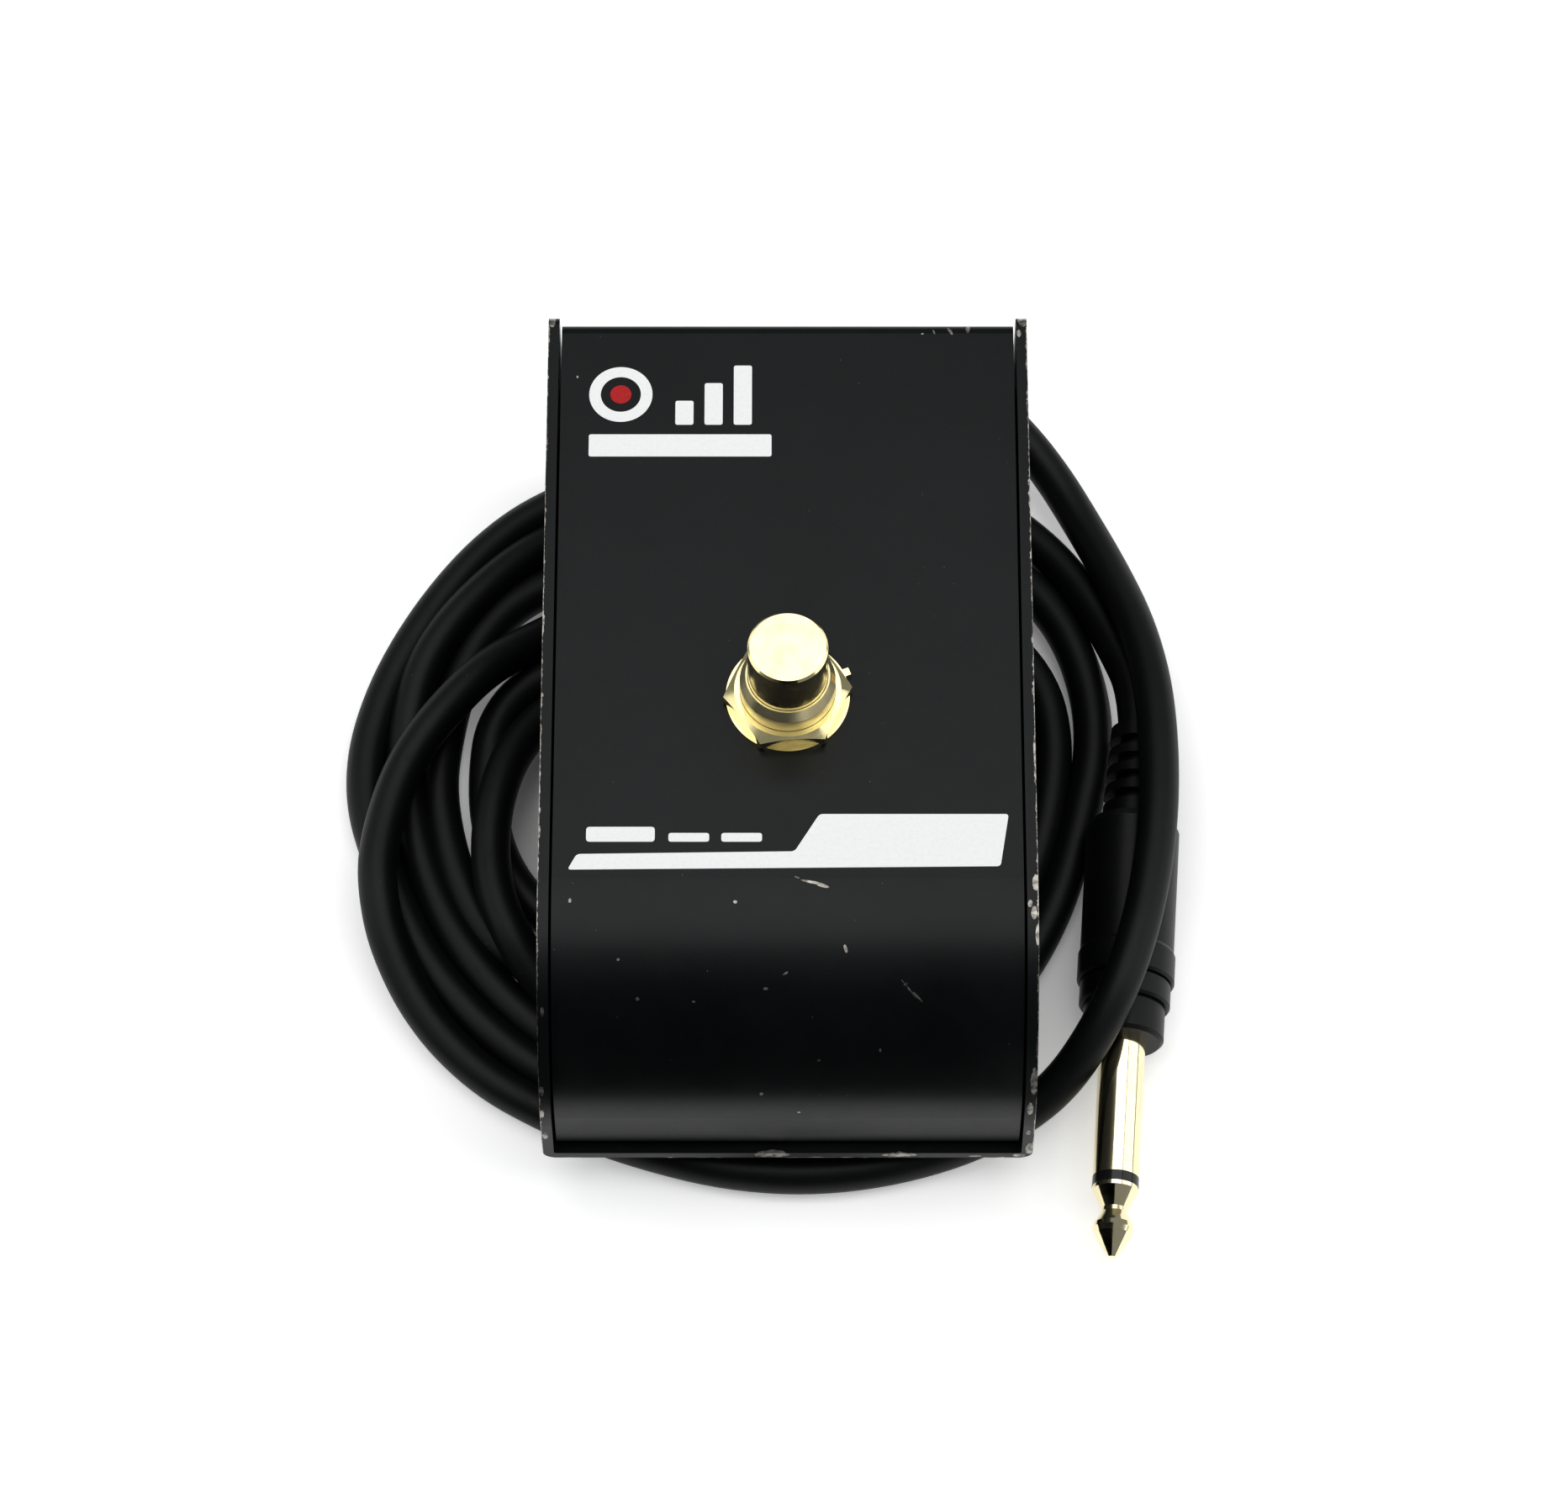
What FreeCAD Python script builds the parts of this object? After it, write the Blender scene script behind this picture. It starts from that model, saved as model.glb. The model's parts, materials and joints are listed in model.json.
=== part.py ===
"""Latching foot switch with a captive lead, as a parametric FreeCAD document.

A folded steel box holds a push-push switch. Its lead leaves the rear wall through an angled
grommet, crosses the plug once, lies coiled under the box and ends in a moulded 6.35 mm plug.
The box rests on the coil with its four rubber feet.

Units are millimetres. +X is to the right, +Y to the rear, +Z up. The origin lies on the floor,
under the middle of the box.
"""
import FreeCAD, Part
import math
import os
import Sketcher

Vector = FreeCAD.Vector
Rotation = FreeCAD.Rotation
Placement = FreeCAD.Placement

doc = FreeCAD.newDocument("FootSwitch")
sheet = doc.addObject("Spreadsheet::Sheet", "dims")
nodes = []


class Size:
    """A length that carries its number together with the sheet expression that gives it."""

    def __init__(self, number, text):
        self.number = float(number)
        self.text = text

    def combine(self, other, sign, number):
        return Size(number, "({} {} {})".format(self.text, sign, as_size(other).text))

    def __add__(self, other):
        return self.combine(other, "+", self.number + as_size(other).number)

    def __sub__(self, other):
        return self.combine(other, "-", self.number - as_size(other).number)

    def __mul__(self, other):
        return self.combine(other, "*", self.number * as_size(other).number)

    def __truediv__(self, other):
        return self.combine(other, "/", self.number / as_size(other).number)

    def __neg__(self):
        return Size(-self.number, "(0 - {})".format(self.text))


def as_size(value):
    """Any number or Size as a Size."""
    if isinstance(value, Size):
        return value
    return Size(value, repr(float(value)))


# ---------------------------------------------------------------- driving dimensions
DIMENSIONS = {
    # the box
    "box_width": 66.0,
    "box_length": 111.5,
    "box_height": 34.5,
    "base_sheet": 1.5,
    "cover_sheet": 1.2,
    "cover_side_gap": 0.35,
    "wall_above_cover": 0.6,
    "cover_front_setback": 1.2,
    "cover_rear_setback": 0.8,
    "front_curve_radius": 24.0,
    "rear_bend_radius": 2.0,
    "flange_bend_radius": 1.6,
    "wall_corner_radius": 1.8,
    "flange_depth": 9.5,
    # the feet
    "foot_radius": 5.0,
    "foot_height": 3.0,
    "foot_taper": 0.5,
    "foot_inset_x": 8.5,
    "foot_inset_y": 12.75,
    # the cover screws
    "screw_spread_x": 13.0,
    "screw_edge_inset": 6.0,
    "screw_shank_radius": 1.4,
    "screw_length": 5.5,
    "screw_head_radius": 2.7,
    "screw_head_height": 1.6,
    "screw_recess_width": 0.6,
    "screw_recess_reach": 1.5,
    "screw_recess_depth": 0.9,
    # the switch, from its button down to its terminals
    "switch_setback": 3.8,
    "button_radius": 5.35,
    "button_above_panel": 14.6,
    "button_skirt": 14.0,
    "button_head": 3.0,
    "button_wall": 1.0,
    "button_chamfer": 0.3,
    "button_travel": 4.0,
    "running_clearance": 0.06,
    "bush_radius": 6.4,
    "bush_above_panel": 6.7,
    "bush_chamfer_rise": 1.5,
    "bush_rim": 0.25,
    "keyway_width": 1.3,
    "keyway_depth": 0.62,
    "keyway_length": 4.6,
    "panel_hole_clearance": 0.15,
    "washer_radius": 8.3,
    "washer_thickness": 0.7,
    "washer_tab_width": 1.1,
    "washer_tab_reach": 0.8,
    "nut_across_flats": 15.0,
    "nut_thickness": 2.0,
    "nut_chamfer": 0.35,
    "nut_turn": 5.0,
    "thread_clearance": 0.05,
    "lock_washer_radius": 8.2,
    "lock_washer_thickness": 0.6,
    "collar_radius": 7.2,
    "collar_height": 1.5,
    "collar_below_nut": 3.2,
    "shelf_thickness": 3.0,
    "spigot_radius": 5.0,
    "frame_sheet": 1.0,
    "housing_width": 17.0,
    "housing_depth": 15.0,
    "housing_height": 16.0,
    "housing_wall": 1.4,
    "housing_floor": 1.6,
    "pin_radius": 2.5,
    "cam_radius": 2.1,
    "cam_height": 1.2,
    "cam_nose": 0.6,
    "clip_radius": 3.6,
    "clip_thickness": 0.6,
    "spring_wire_radius": 0.32,
    "spring_turns": 7.0,
    "end_clearance": 0.05,
    "pivot_above_floor": 4.9,
    "axle_radius": 0.75,
    "rocker_half_length": 4.8,
    "rocker_width": 6.0,
    "rocker_top": 0.9,
    "rocker_bottom": 1.6,
    "rocker_tilt": 12.0,
    "bridge_sheet": 0.4,
    "bridge_overhang": 0.3,
    "bridge_width": 4.0,
    "terminal_width": 2.2,
    "terminal_sheet": 0.8,
    "terminal_spread": 4.4,
    "terminal_drop": 3.7,
    "terminal_reach": 1.7,
    "common_reach": 2.4,
    "contact_radius": 1.1,
    "contact_height": 0.5,
    "slot_clearance": 0.05,
    # the lead and its coil
    "lead_radius": 2.75,
    "coil_outer_radius": 57.7,
    "coil_inner_radius": 23.0,
    "coil_middle_x": -3.9,
    "coil_middle_y": -0.7,
    "coil_flat_radius": 71.7,
    "coil_flat_x": -27.0,
    "coil_flat_y": 8.2,
    "plug_channel_clearance": 0.3,
    "crossing_inner_radius": 46.7,
    "crossing_start": 147.0,
    "crossing_sweep": 66.0,
    "wire_radius": 0.7,
    "wire_spacing": 1.2,
    # the grommet in the rear wall
    "grommet_side": 4.0,
    "grommet_height": 6.3,
    "grommet_body_radius": 4.0,
    "grommet_flange_radius": 4.6,
    "grommet_flange": 1.2,
    "grommet_hole_clearance": 0.1,
    "stub_length": 9.0,
    "tie_width": 2.5,
    "tie_thickness": 1.0,
    "tie_head": 3.0,
    # the plug, measured from its tip along its own axis
    "plug_tip_x": 43.5,
    "plug_tip_y": -69.5,
    "plug_axis_height": 6.7,
    "plug_lean": 4.03,
    "plug_radius": 3.175,
    "plug_ring_start": 10.1,
    "plug_ring_length": 1.4,
    "plug_metal_length": 31.6,
    "plug_socket_depth": 4.3,
    "plug_shank_radius": 2.75,
    "plug_rod_radius": 1.2,
    "plug_tube_wall": 0.75,
    "plug_fit": 0.04,
    "grip_length": 33.5,
    "grip_nose_radius": 5.6,
    "grip_step_radius": 6.25,
    "grip_band_radius": 6.7,
    "grip_body_radius": 6.45,
    "relief_length": 14.4,
    "relief_root_radius": 4.5,
    "relief_end_radius": 3.7,
    "relief_groove_depth": 1.5,
}
for row, (alias, number) in enumerate(DIMENSIONS.items(), start=1):
    sheet.set("A{}".format(row), alias)
    sheet.set("B{}".format(row), str(number))
    sheet.setAlias("B{}".format(row), alias)
doc.recompute()


def dim(alias):
    """The sheet's value under this alias."""
    return Size(sheet.get(alias), "dims." + alias)


# Heights, all from the floor up.
coil_top = dim("lead_radius") * 2
base_bottom = coil_top + dim("foot_height")
plate_top = base_bottom + dim("base_sheet")
panel_top = base_bottom + dim("box_height")
panel_bottom = panel_top - dim("cover_sheet")
wall_top = panel_top + dim("wall_above_cover")
switch_y = -dim("switch_setback")

# Plan positions of the box's sheets.
half_width = dim("box_width") / 2
half_length = dim("box_length") / 2
cover_front = -half_length + dim("cover_front_setback")
cover_rear = half_length - dim("cover_rear_setback")
cover_half_width = half_width - dim("base_sheet") - dim("cover_side_gap")


# ---------------------------------------------------------------- modelling helpers
def bind(obj, prop, value):
    """Set a property to a size and tie it to the sheet."""
    obj.setExpression(prop, as_size(value).text)


def place(obj, x=0.0, y=0.0, z=0.0, rotation=None):
    """Put an object at a bound position, turned by a fixed rotation."""
    spot = Vector(as_size(x).number, as_size(y).number, as_size(z).number)
    obj.Placement = Placement(spot, rotation or Rotation())
    for prop, value in (("x", x), ("y", y), ("z", z)):
        bind(obj, "Placement.Base." + prop, value)
    return obj


def keep(obj, label):
    """Name a finished piece and list it for export."""
    obj.Label = label
    nodes.append(obj)
    return obj


def box(name, low, size):
    """A block from its low corner and its three sizes."""
    obj = doc.addObject("Part::Box", name)
    for prop, value in zip(("Length", "Width", "Height"), size):
        bind(obj, prop, value)
    return place(obj, *low)


def cylinder(name, radius, height, x=0.0, y=0.0, z=0.0, rotation=None, angle=None):
    """A round bar that stands on the given point."""
    obj = doc.addObject("Part::Cylinder", name)
    bind(obj, "Radius", radius)
    bind(obj, "Height", height)
    if angle is not None:
        bind(obj, "Angle", angle)
    return place(obj, x, y, z, rotation)


def cone(name, low_radius, high_radius, height, x=0.0, y=0.0, z=0.0):
    """A tapered round bar that stands on the given point."""
    obj = doc.addObject("Part::Cone", name)
    bind(obj, "Radius1", low_radius)
    bind(obj, "Radius2", high_radius)
    bind(obj, "Height", height)
    return place(obj, x, y, z)


def cut(name, base, tools):
    """The base with every tool taken away in turn."""
    result = base
    for number, tool in enumerate(tools):
        step = doc.addObject("Part::Cut", "{}_cut_{}".format(name, number))
        step.Base = result
        step.Tool = tool
        result = step
    return result


def fuse(name, first, second):
    """Two shapes as one solid."""
    obj = doc.addObject("Part::Fuse", name)
    obj.Base = first
    obj.Tool = second
    return obj


def common(name, first, second):
    """What two shapes share."""
    obj = doc.addObject("Part::Common", name)
    obj.Base = first
    obj.Tool = second
    return obj


def new_sketch(body, name, plane, offset=0.0):
    """A sketch on one of a body's own origin planes, moved along the plane's normal."""
    sketch = body.newObject("Sketcher::SketchObject", name)
    support = [item for item in body.Origin.OriginFeatures if item.Role == plane][0]
    sketch.AttachmentSupport = [(support, "")]
    sketch.MapMode = "FlatFace"
    bind(sketch, "AttachmentOffset.Base.z", offset)
    return sketch


def pin_point(sketch, geometry, end, x, y):
    """Tie one end of a sketch's line or arc to bound coordinates."""
    for kind, straight, value in (("DistanceX", "Vertical", x), ("DistanceY", "Horizontal", y)):
        value = as_size(value)
        if abs(value.number) < 1e-9:
            sketch.addConstraint(Sketcher.Constraint(straight, -1, 1, geometry, end))
            continue
        rule = Sketcher.Constraint(kind, -1, 1, geometry, end, value.number)
        index = sketch.addConstraint(rule)
        sketch.setExpression("Constraints[{}]".format(index), value.text)


def toward(start, end, distance):
    """The point a distance from start along an axis-aligned side that runs to end."""
    along_x = abs(end[0].number - start[0].number) > abs(end[1].number - start[1].number)
    axis = 0 if along_x else 1
    ahead = end[axis].number > start[axis].number
    moved = list(start)
    moved[axis] = start[axis] + distance if ahead else start[axis] - distance
    return tuple(moved)


def outline(sketch, corners):
    """A closed outline from (x, y) corners, or (x, y, radius) for a rounded right angle."""
    points = [(as_size(c[0]), as_size(c[1])) for c in corners]
    radii = [as_size(c[2]) if len(c) > 2 else None for c in corners]
    ends = []
    for i, point in enumerate(points):
        before = points[i - 1]
        after = points[(i + 1) % len(points)]
        if radii[i] is None:
            ends.append((point, point))
        else:
            ends.append((toward(point, before, radii[i]), toward(point, after, radii[i])))
    for i in range(len(points)):
        start = ends[i][1]
        stop = ends[(i + 1) % len(points)][0]
        line = Part.LineSegment(flat(start), flat(stop))
        index = sketch.addGeometry(line, False)
        pin_point(sketch, index, 1, *start)
        pin_point(sketch, index, 2, *stop)
    for i, radius in enumerate(radii):
        if radius is None:
            continue
        start, stop = ends[i]
        corner = flat(points[i])
        centre = flat(start) + flat(stop) - corner
        first = flat(start) - centre
        last = flat(stop) - centre
        counterclockwise = first.cross(last).z > 0
        if not counterclockwise:
            start, stop = stop, start
            first, last = last, first
        circle = Part.Circle(centre, Vector(0, 0, 1), radius.number)
        begin = math.atan2(first.y, first.x)
        arc = Part.ArcOfCircle(circle, begin, begin + math.pi / 2)
        index = sketch.addGeometry(arc, False)
        pin_point(sketch, index, 1, *start)
        pin_point(sketch, index, 2, *stop)
        rule = sketch.addConstraint(Sketcher.Constraint("Radius", index, radius.number))
        sketch.setExpression("Constraints[{}]".format(rule), radius.text)


def flat(point):
    """A pair of sizes as a vector in the sketch's plane."""
    return Vector(point[0].number, point[1].number, 0)


def prism(name, plane, offset, corners, length):
    """A PartDesign body: one outline padded along its plane's normal."""
    body = doc.addObject("PartDesign::Body", name)
    sketch = new_sketch(body, name + "_sketch", plane, offset)
    outline(sketch, corners)
    pad = body.newObject("PartDesign::Pad", name + "_pad")
    pad.Profile = sketch
    bind(pad, "Length", length)
    return body


def turned(name, corners, x=0.0, y=0.0, z=0.0, rotation=None):
    """A PartDesign body: an outline of (radius, height) corners turned about the Z axis."""
    body = doc.addObject("PartDesign::Body", name)
    sketch = new_sketch(body, name + "_sketch", "XZ_Plane")
    outline(sketch, corners)
    turn = body.newObject("PartDesign::Revolution", name + "_turn")
    turn.Profile = sketch
    turn.ReferenceAxis = (sketch, ["V_Axis"])
    turn.Angle = 360.0
    return place(body, x, y, z, rotation)


def hexagon(name, across_flats, height, x, y, z, turn):
    """A six-sided bar whose first corner points along +X before it is turned."""
    obj = doc.addObject("Part::Prism", name)
    obj.Polygon = 6
    bind(obj, "Circumradius", across_flats / math.sqrt(3.0))
    bind(obj, "Height", height)
    return place(obj, x, y, z, Rotation(Vector(0, 0, 1), turn))


def tube_path(points):
    """Straight runs joined by tangent arcs, and the smallest arc radius used."""
    corners = [Vector(*p) for p in points]
    edges = []
    radii = []
    start = corners[0]
    for before, corner, after in zip(corners, corners[1:], corners[2:]):
        back = before - corner
        ahead = after - corner
        reach = 0.45 * min(back.Length, ahead.Length)
        half_turn = (math.pi - back.getAngle(ahead)) / 2
        radii.append(reach / math.tan(half_turn))
        back.normalize()
        ahead.normalize()
        middle = back + ahead
        middle.normalize()
        entry = corner + back * reach
        leave = corner + ahead * reach
        centre = corner + middle * (reach / math.sin(half_turn))
        top = centre - middle * radii[-1]
        edges.append(Part.LineSegment(start, entry).toShape())
        edges.append(Part.Arc(entry, top, leave).toShape())
        start = leave
    edges.append(Part.LineSegment(start, corners[-1]).toShape())
    return Part.Wire(edges), radii


def tube(name, points, radius):
    """A round tube along a path; it prints its radii and how its volume compares."""
    wire, radii = tube_path(points)
    first = Vector(*points[0])
    direction = Vector(*points[1]) - first
    circle = Part.Wire([Part.Circle(first, direction, radius.number).toShape()])
    solid = wire.makePipeShell([circle], True, False)
    ideal = math.pi * radius.number ** 2 * wire.Length
    shares = (solid.Volume / ideal, min(radii) if radii else 0.0, wire.Length)
    print("{}: volume ratio {:.4f}, least radius {:.1f} mm, length {:.1f} mm".format(name, *shares))
    print("   radii", [round(r, 1) for r in radii])
    obj = doc.addObject("Part::Feature", name)
    obj.Shape = solid
    return obj


# ---------------------------------------------------------------- the box
def make_base():
    """Plate and two side walls in one folded sheet, their tops following the cover's curve."""
    inner = half_width - dim("base_sheet")
    inner_bend = dim("cover_side_gap")
    bend = inner_bend + dim("base_sheet")
    top = wall_top + 1.0
    section = prism("base_section", "XZ_Plane", -half_length, [
        (-half_width, base_bottom, bend),
        (half_width, base_bottom, bend),
        (half_width, top),
        (inner, top),
        (inner, plate_top, inner_bend),
        (-inner, plate_top, inner_bend),
        (-inner, top),
        (-half_width, top),
    ], dim("box_length"))
    side_curve = dim("front_curve_radius") + dim("wall_above_cover")
    side = prism("base_side", "YZ_Plane", -half_width, [
        (-half_length, base_bottom),
        (-half_length, wall_top, side_curve),
        (half_length, wall_top, dim("wall_corner_radius")),
        (half_length, base_bottom),
    ], dim("box_width"))
    folded = common("base_folded", section, side)
    hole_radius = dim("screw_shank_radius") + dim("thread_clearance")
    tools = []
    for i, (x, y) in enumerate(screw_places()):
        tools.append(cylinder("base_hole_{}".format(i), hole_radius, dim("base_sheet") + 2,
                              x, y, base_bottom - 1))
    return keep(cut("base", folded, tools), "base_channel")


def make_cover():
    """Panel, front curve, front wall and rear wall in one sheet, flanged onto the plate."""
    thin = dim("cover_sheet")
    lip = dim("flange_bend_radius")
    curve = dim("front_curve_radius")
    back_bend = dim("rear_bend_radius")
    front_end = cover_front + dim("flange_depth")
    rear_end = cover_rear - dim("flange_depth")
    sheet_body = prism("cover_sheet_body", "YZ_Plane", -cover_half_width, [
        (front_end, plate_top),
        (cover_front, plate_top, lip),
        (cover_front, panel_top, curve),
        (cover_rear, panel_top, back_bend),
        (cover_rear, plate_top, lip),
        (rear_end, plate_top),
        (rear_end, plate_top + thin),
        (cover_rear - thin, plate_top + thin, lip - thin),
        (cover_rear - thin, panel_bottom, back_bend - thin),
        (cover_front + thin, panel_bottom, curve - thin),
        (cover_front + thin, plate_top + thin, lip - thin),
        (front_end, plate_top + thin),
    ], cover_half_width * 2)
    tools = [cylinder("cover_bush_hole", dim("bush_radius") + dim("panel_hole_clearance"),
                      thin + 2, 0, switch_y, panel_bottom - 1)]
    rear_hole = dim("grommet_body_radius") + dim("grommet_hole_clearance")
    tools.append(cylinder("cover_grommet_hole", rear_hole, thin + 2, grommet_x,
                          cover_rear + 1, grommet_z, Rotation(Vector(1, 0, 0), 90)))
    hole_radius = dim("screw_shank_radius") + dim("thread_clearance")
    for i, (x, y) in enumerate(screw_places()):
        tools.append(cylinder("cover_hole_{}".format(i), hole_radius, thin + 2,
                              x, y, plate_top - 1))
    return keep(cut("cover", sheet_body, tools), "top_cover")


def screw_places():
    """The four cover screws, two through each flange."""
    x = dim("screw_spread_x")
    front = cover_front + dim("screw_edge_inset")
    rear = cover_rear - dim("screw_edge_inset")
    return [(x, front), (-x, front), (x, rear), (-x, rear)]


def make_screws():
    """Four pan-head screws from below, with crossed recesses, as one group."""
    reach = dim("screw_recess_reach")
    width = dim("screw_recess_width")
    head_z = base_bottom - dim("screw_head_height")
    screws = []
    for i, (x, y) in enumerate(screw_places()):
        name = "screw_{}".format(i)
        head = cylinder(name + "_head", dim("screw_head_radius"), dim("screw_head_height"),
                        x, y, head_z)
        shank = cylinder(name + "_shank", dim("screw_shank_radius"), dim("screw_length"),
                         x, y, base_bottom)
        long_slot = box(name + "_slot_x", (x - reach, y - width / 2, head_z),
                        (reach * 2, width, dim("screw_recess_depth")))
        cross_slot = box(name + "_slot_y", (x - width / 2, y - reach, head_z),
                         (width, reach * 2, dim("screw_recess_depth")))
        screws.append(cut(name, fuse(name + "_blank", head, shank), [long_slot, cross_slot]))
    group = doc.addObject("Part::Compound", "screw_group")
    group.Links = screws
    return keep(group, "cover_screws")


def make_feet():
    """Four rubber feet between the plate and the coil."""
    for end, y_sign in (("front", -1), ("rear", 1)):
        for side, x_sign in (("left", -1), ("right", 1)):
            name = "foot_{}_{}".format(end, side)
            foot = cone(name + "_body", dim("foot_radius") - dim("foot_taper"),
                        dim("foot_radius"), dim("foot_height"),
                        (half_width - dim("foot_inset_x")) * x_sign,
                        (half_length - dim("foot_inset_y")) * y_sign, coil_top)
            keep(foot, name)


# ---------------------------------------------------------------- the switch
washer_top = panel_top + dim("washer_thickness")
nut_top = washer_top + dim("nut_thickness")
lower_nut_top = panel_bottom - dim("lock_washer_thickness")
collar_top = lower_nut_top - dim("nut_thickness") - dim("collar_below_nut")
collar_bottom = collar_top - dim("collar_height")
frame_bottom = collar_bottom - dim("frame_sheet")
shelf_top = collar_bottom + dim("shelf_thickness")
bush_top = panel_top + dim("bush_above_panel")
bush_bore = dim("button_radius") + dim("running_clearance")
pin_bore = dim("pin_radius") + dim("running_clearance")
button_top = panel_top + dim("button_above_panel")
button_bottom = button_top - dim("button_skirt")
button_ceiling = button_top - dim("button_head")
housing_bottom = frame_bottom - dim("housing_height")
pivot_z = housing_bottom + dim("housing_floor") + dim("pivot_above_floor")
terminal_bottom = housing_bottom - dim("terminal_drop")


def make_bush():
    """Threaded bush with a bore for the button, a shelf for the spring and a staked spigot."""
    rim = bush_bore + dim("bush_rim")
    blank = turned("bush_blank", [
        (pin_bore, frame_bottom),
        (dim("spigot_radius"), frame_bottom),
        (dim("spigot_radius"), collar_bottom),
        (dim("collar_radius"), collar_bottom),
        (dim("collar_radius"), collar_top),
        (dim("bush_radius"), collar_top),
        (dim("bush_radius"), bush_top - dim("bush_chamfer_rise")),
        (rim, bush_top),
        (bush_bore, bush_top),
        (bush_bore, shelf_top),
        (pin_bore, shelf_top),
    ], 0, switch_y)
    slot = box("bush_keyway", (dim("bush_radius") - dim("keyway_depth"),
                               switch_y - dim("keyway_width") / 2,
                               bush_top - dim("keyway_length")),
               (2.0, dim("keyway_width"), dim("keyway_length") + 1))
    return keep(cut("bush", blank, [slot]), "switch_bushing")


def make_nut(name, label, z, turn):
    """A thin hexagon nut with chamfered upper corners."""
    flats = dim("nut_across_flats")
    thick = dim("nut_thickness")
    blank = hexagon(name + "_blank", flats, thick, 0, switch_y, z, turn)
    crown_top = flats / 2 - dim("nut_chamfer")
    crown = cone(name + "_crown", crown_top + thick * math.sqrt(3.0), crown_top, thick,
                 0, switch_y, z)
    bore = cylinder(name + "_bore", dim("bush_radius") + dim("thread_clearance"), thick + 2,
                    0, switch_y, z - 1)
    return keep(cut(name, common(name + "_shape", blank, crown), [bore]), label)


def make_washers():
    """Plain washer with a locating tab on the panel, and a lock washer under it."""
    hole = dim("bush_radius") + dim("thread_clearance")
    tab_angle = 21.0
    ring = cylinder("washer_ring", dim("washer_radius"), dim("washer_thickness"),
                    0, switch_y, panel_top)
    tab = box("washer_tab", (0, 0, 0), (dim("washer_radius") + dim("washer_tab_reach"),
                                        dim("washer_tab_width"), dim("washer_thickness")))
    place(tab, 0, switch_y, panel_top, Rotation(Vector(0, 0, 1), tab_angle))
    bore = cylinder("washer_bore", hole, dim("washer_thickness") + 2, 0, switch_y, panel_top - 1)
    keep(cut("washer", fuse("washer_blank", ring, tab), [bore]), "switch_washer")

    under = cylinder("lock_ring", dim("lock_washer_radius"), dim("lock_washer_thickness"),
                     0, switch_y, lower_nut_top)
    under_bore = cylinder("lock_bore", hole, dim("lock_washer_thickness") + 2,
                          0, switch_y, lower_nut_top - 1)
    keep(cut("lock_washer", under, [under_bore]), "switch_lock_washer")


def make_button():
    """Hollow push button, its pin, the clip that holds it up and the cam on the pin's end."""
    chamfer = dim("button_chamfer")
    inside = dim("button_radius") - dim("button_wall")
    keep(turned("button_body", [
        (0, button_ceiling),
        (inside, button_ceiling),
        (inside, button_bottom),
        (dim("button_radius"), button_bottom),
        (dim("button_radius"), button_top - chamfer),
        (dim("button_radius") - chamfer, button_top),
        (0, button_top),
    ], 0, switch_y), "switch_button")

    clip_top = frame_bottom - dim("end_clearance")
    clip_bottom = clip_top - dim("clip_thickness")
    cam_top = clip_bottom - dim("clip_thickness")
    keep(cylinder("pin_body", dim("pin_radius"), button_ceiling - cam_top,
                  0, switch_y, cam_top), "actuator_pin")
    clip = cylinder("clip_ring", dim("clip_radius"), dim("clip_thickness"),
                    0, switch_y, clip_bottom)
    clip_bore = cylinder("clip_bore", dim("pin_radius") + dim("thread_clearance"),
                         dim("clip_thickness") + 2, 0, switch_y, clip_bottom - 1)
    keep(cut("clip", clip, [clip_bore]), "pin_retaining_clip")
    nose = dim("cam_nose")
    keep(cone("cam_body", dim("cam_radius") - nose, dim("cam_radius"), dim("cam_height"),
              0, switch_y, cam_top - dim("cam_height")), "push_cam")


def make_spring():
    """Round wire coiled between the bush's shelf and the underside of the button's head."""
    wire = dim("spring_wire_radius").number
    low = (shelf_top + dim("end_clearance")).number + wire
    high = (button_ceiling - dim("end_clearance")).number - wire
    steps_per_turn = 12
    corner_allowance = 1.015
    middle = (dim("pin_radius") + dim("button_radius") - dim("button_wall")).number / 2
    radius = middle * corner_allowance
    steps = round(dim("spring_turns").number * steps_per_turn)
    points = []
    for i in range(steps + 1):
        angle = 2 * math.pi * i / steps_per_turn
        points.append((radius * math.cos(angle), switch_y.number + radius * math.sin(angle),
                       low + (high - low) * i / steps))
    obj = tube("spring_coil", points, dim("spring_wire_radius"))
    return keep(obj, "return_spring")


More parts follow.
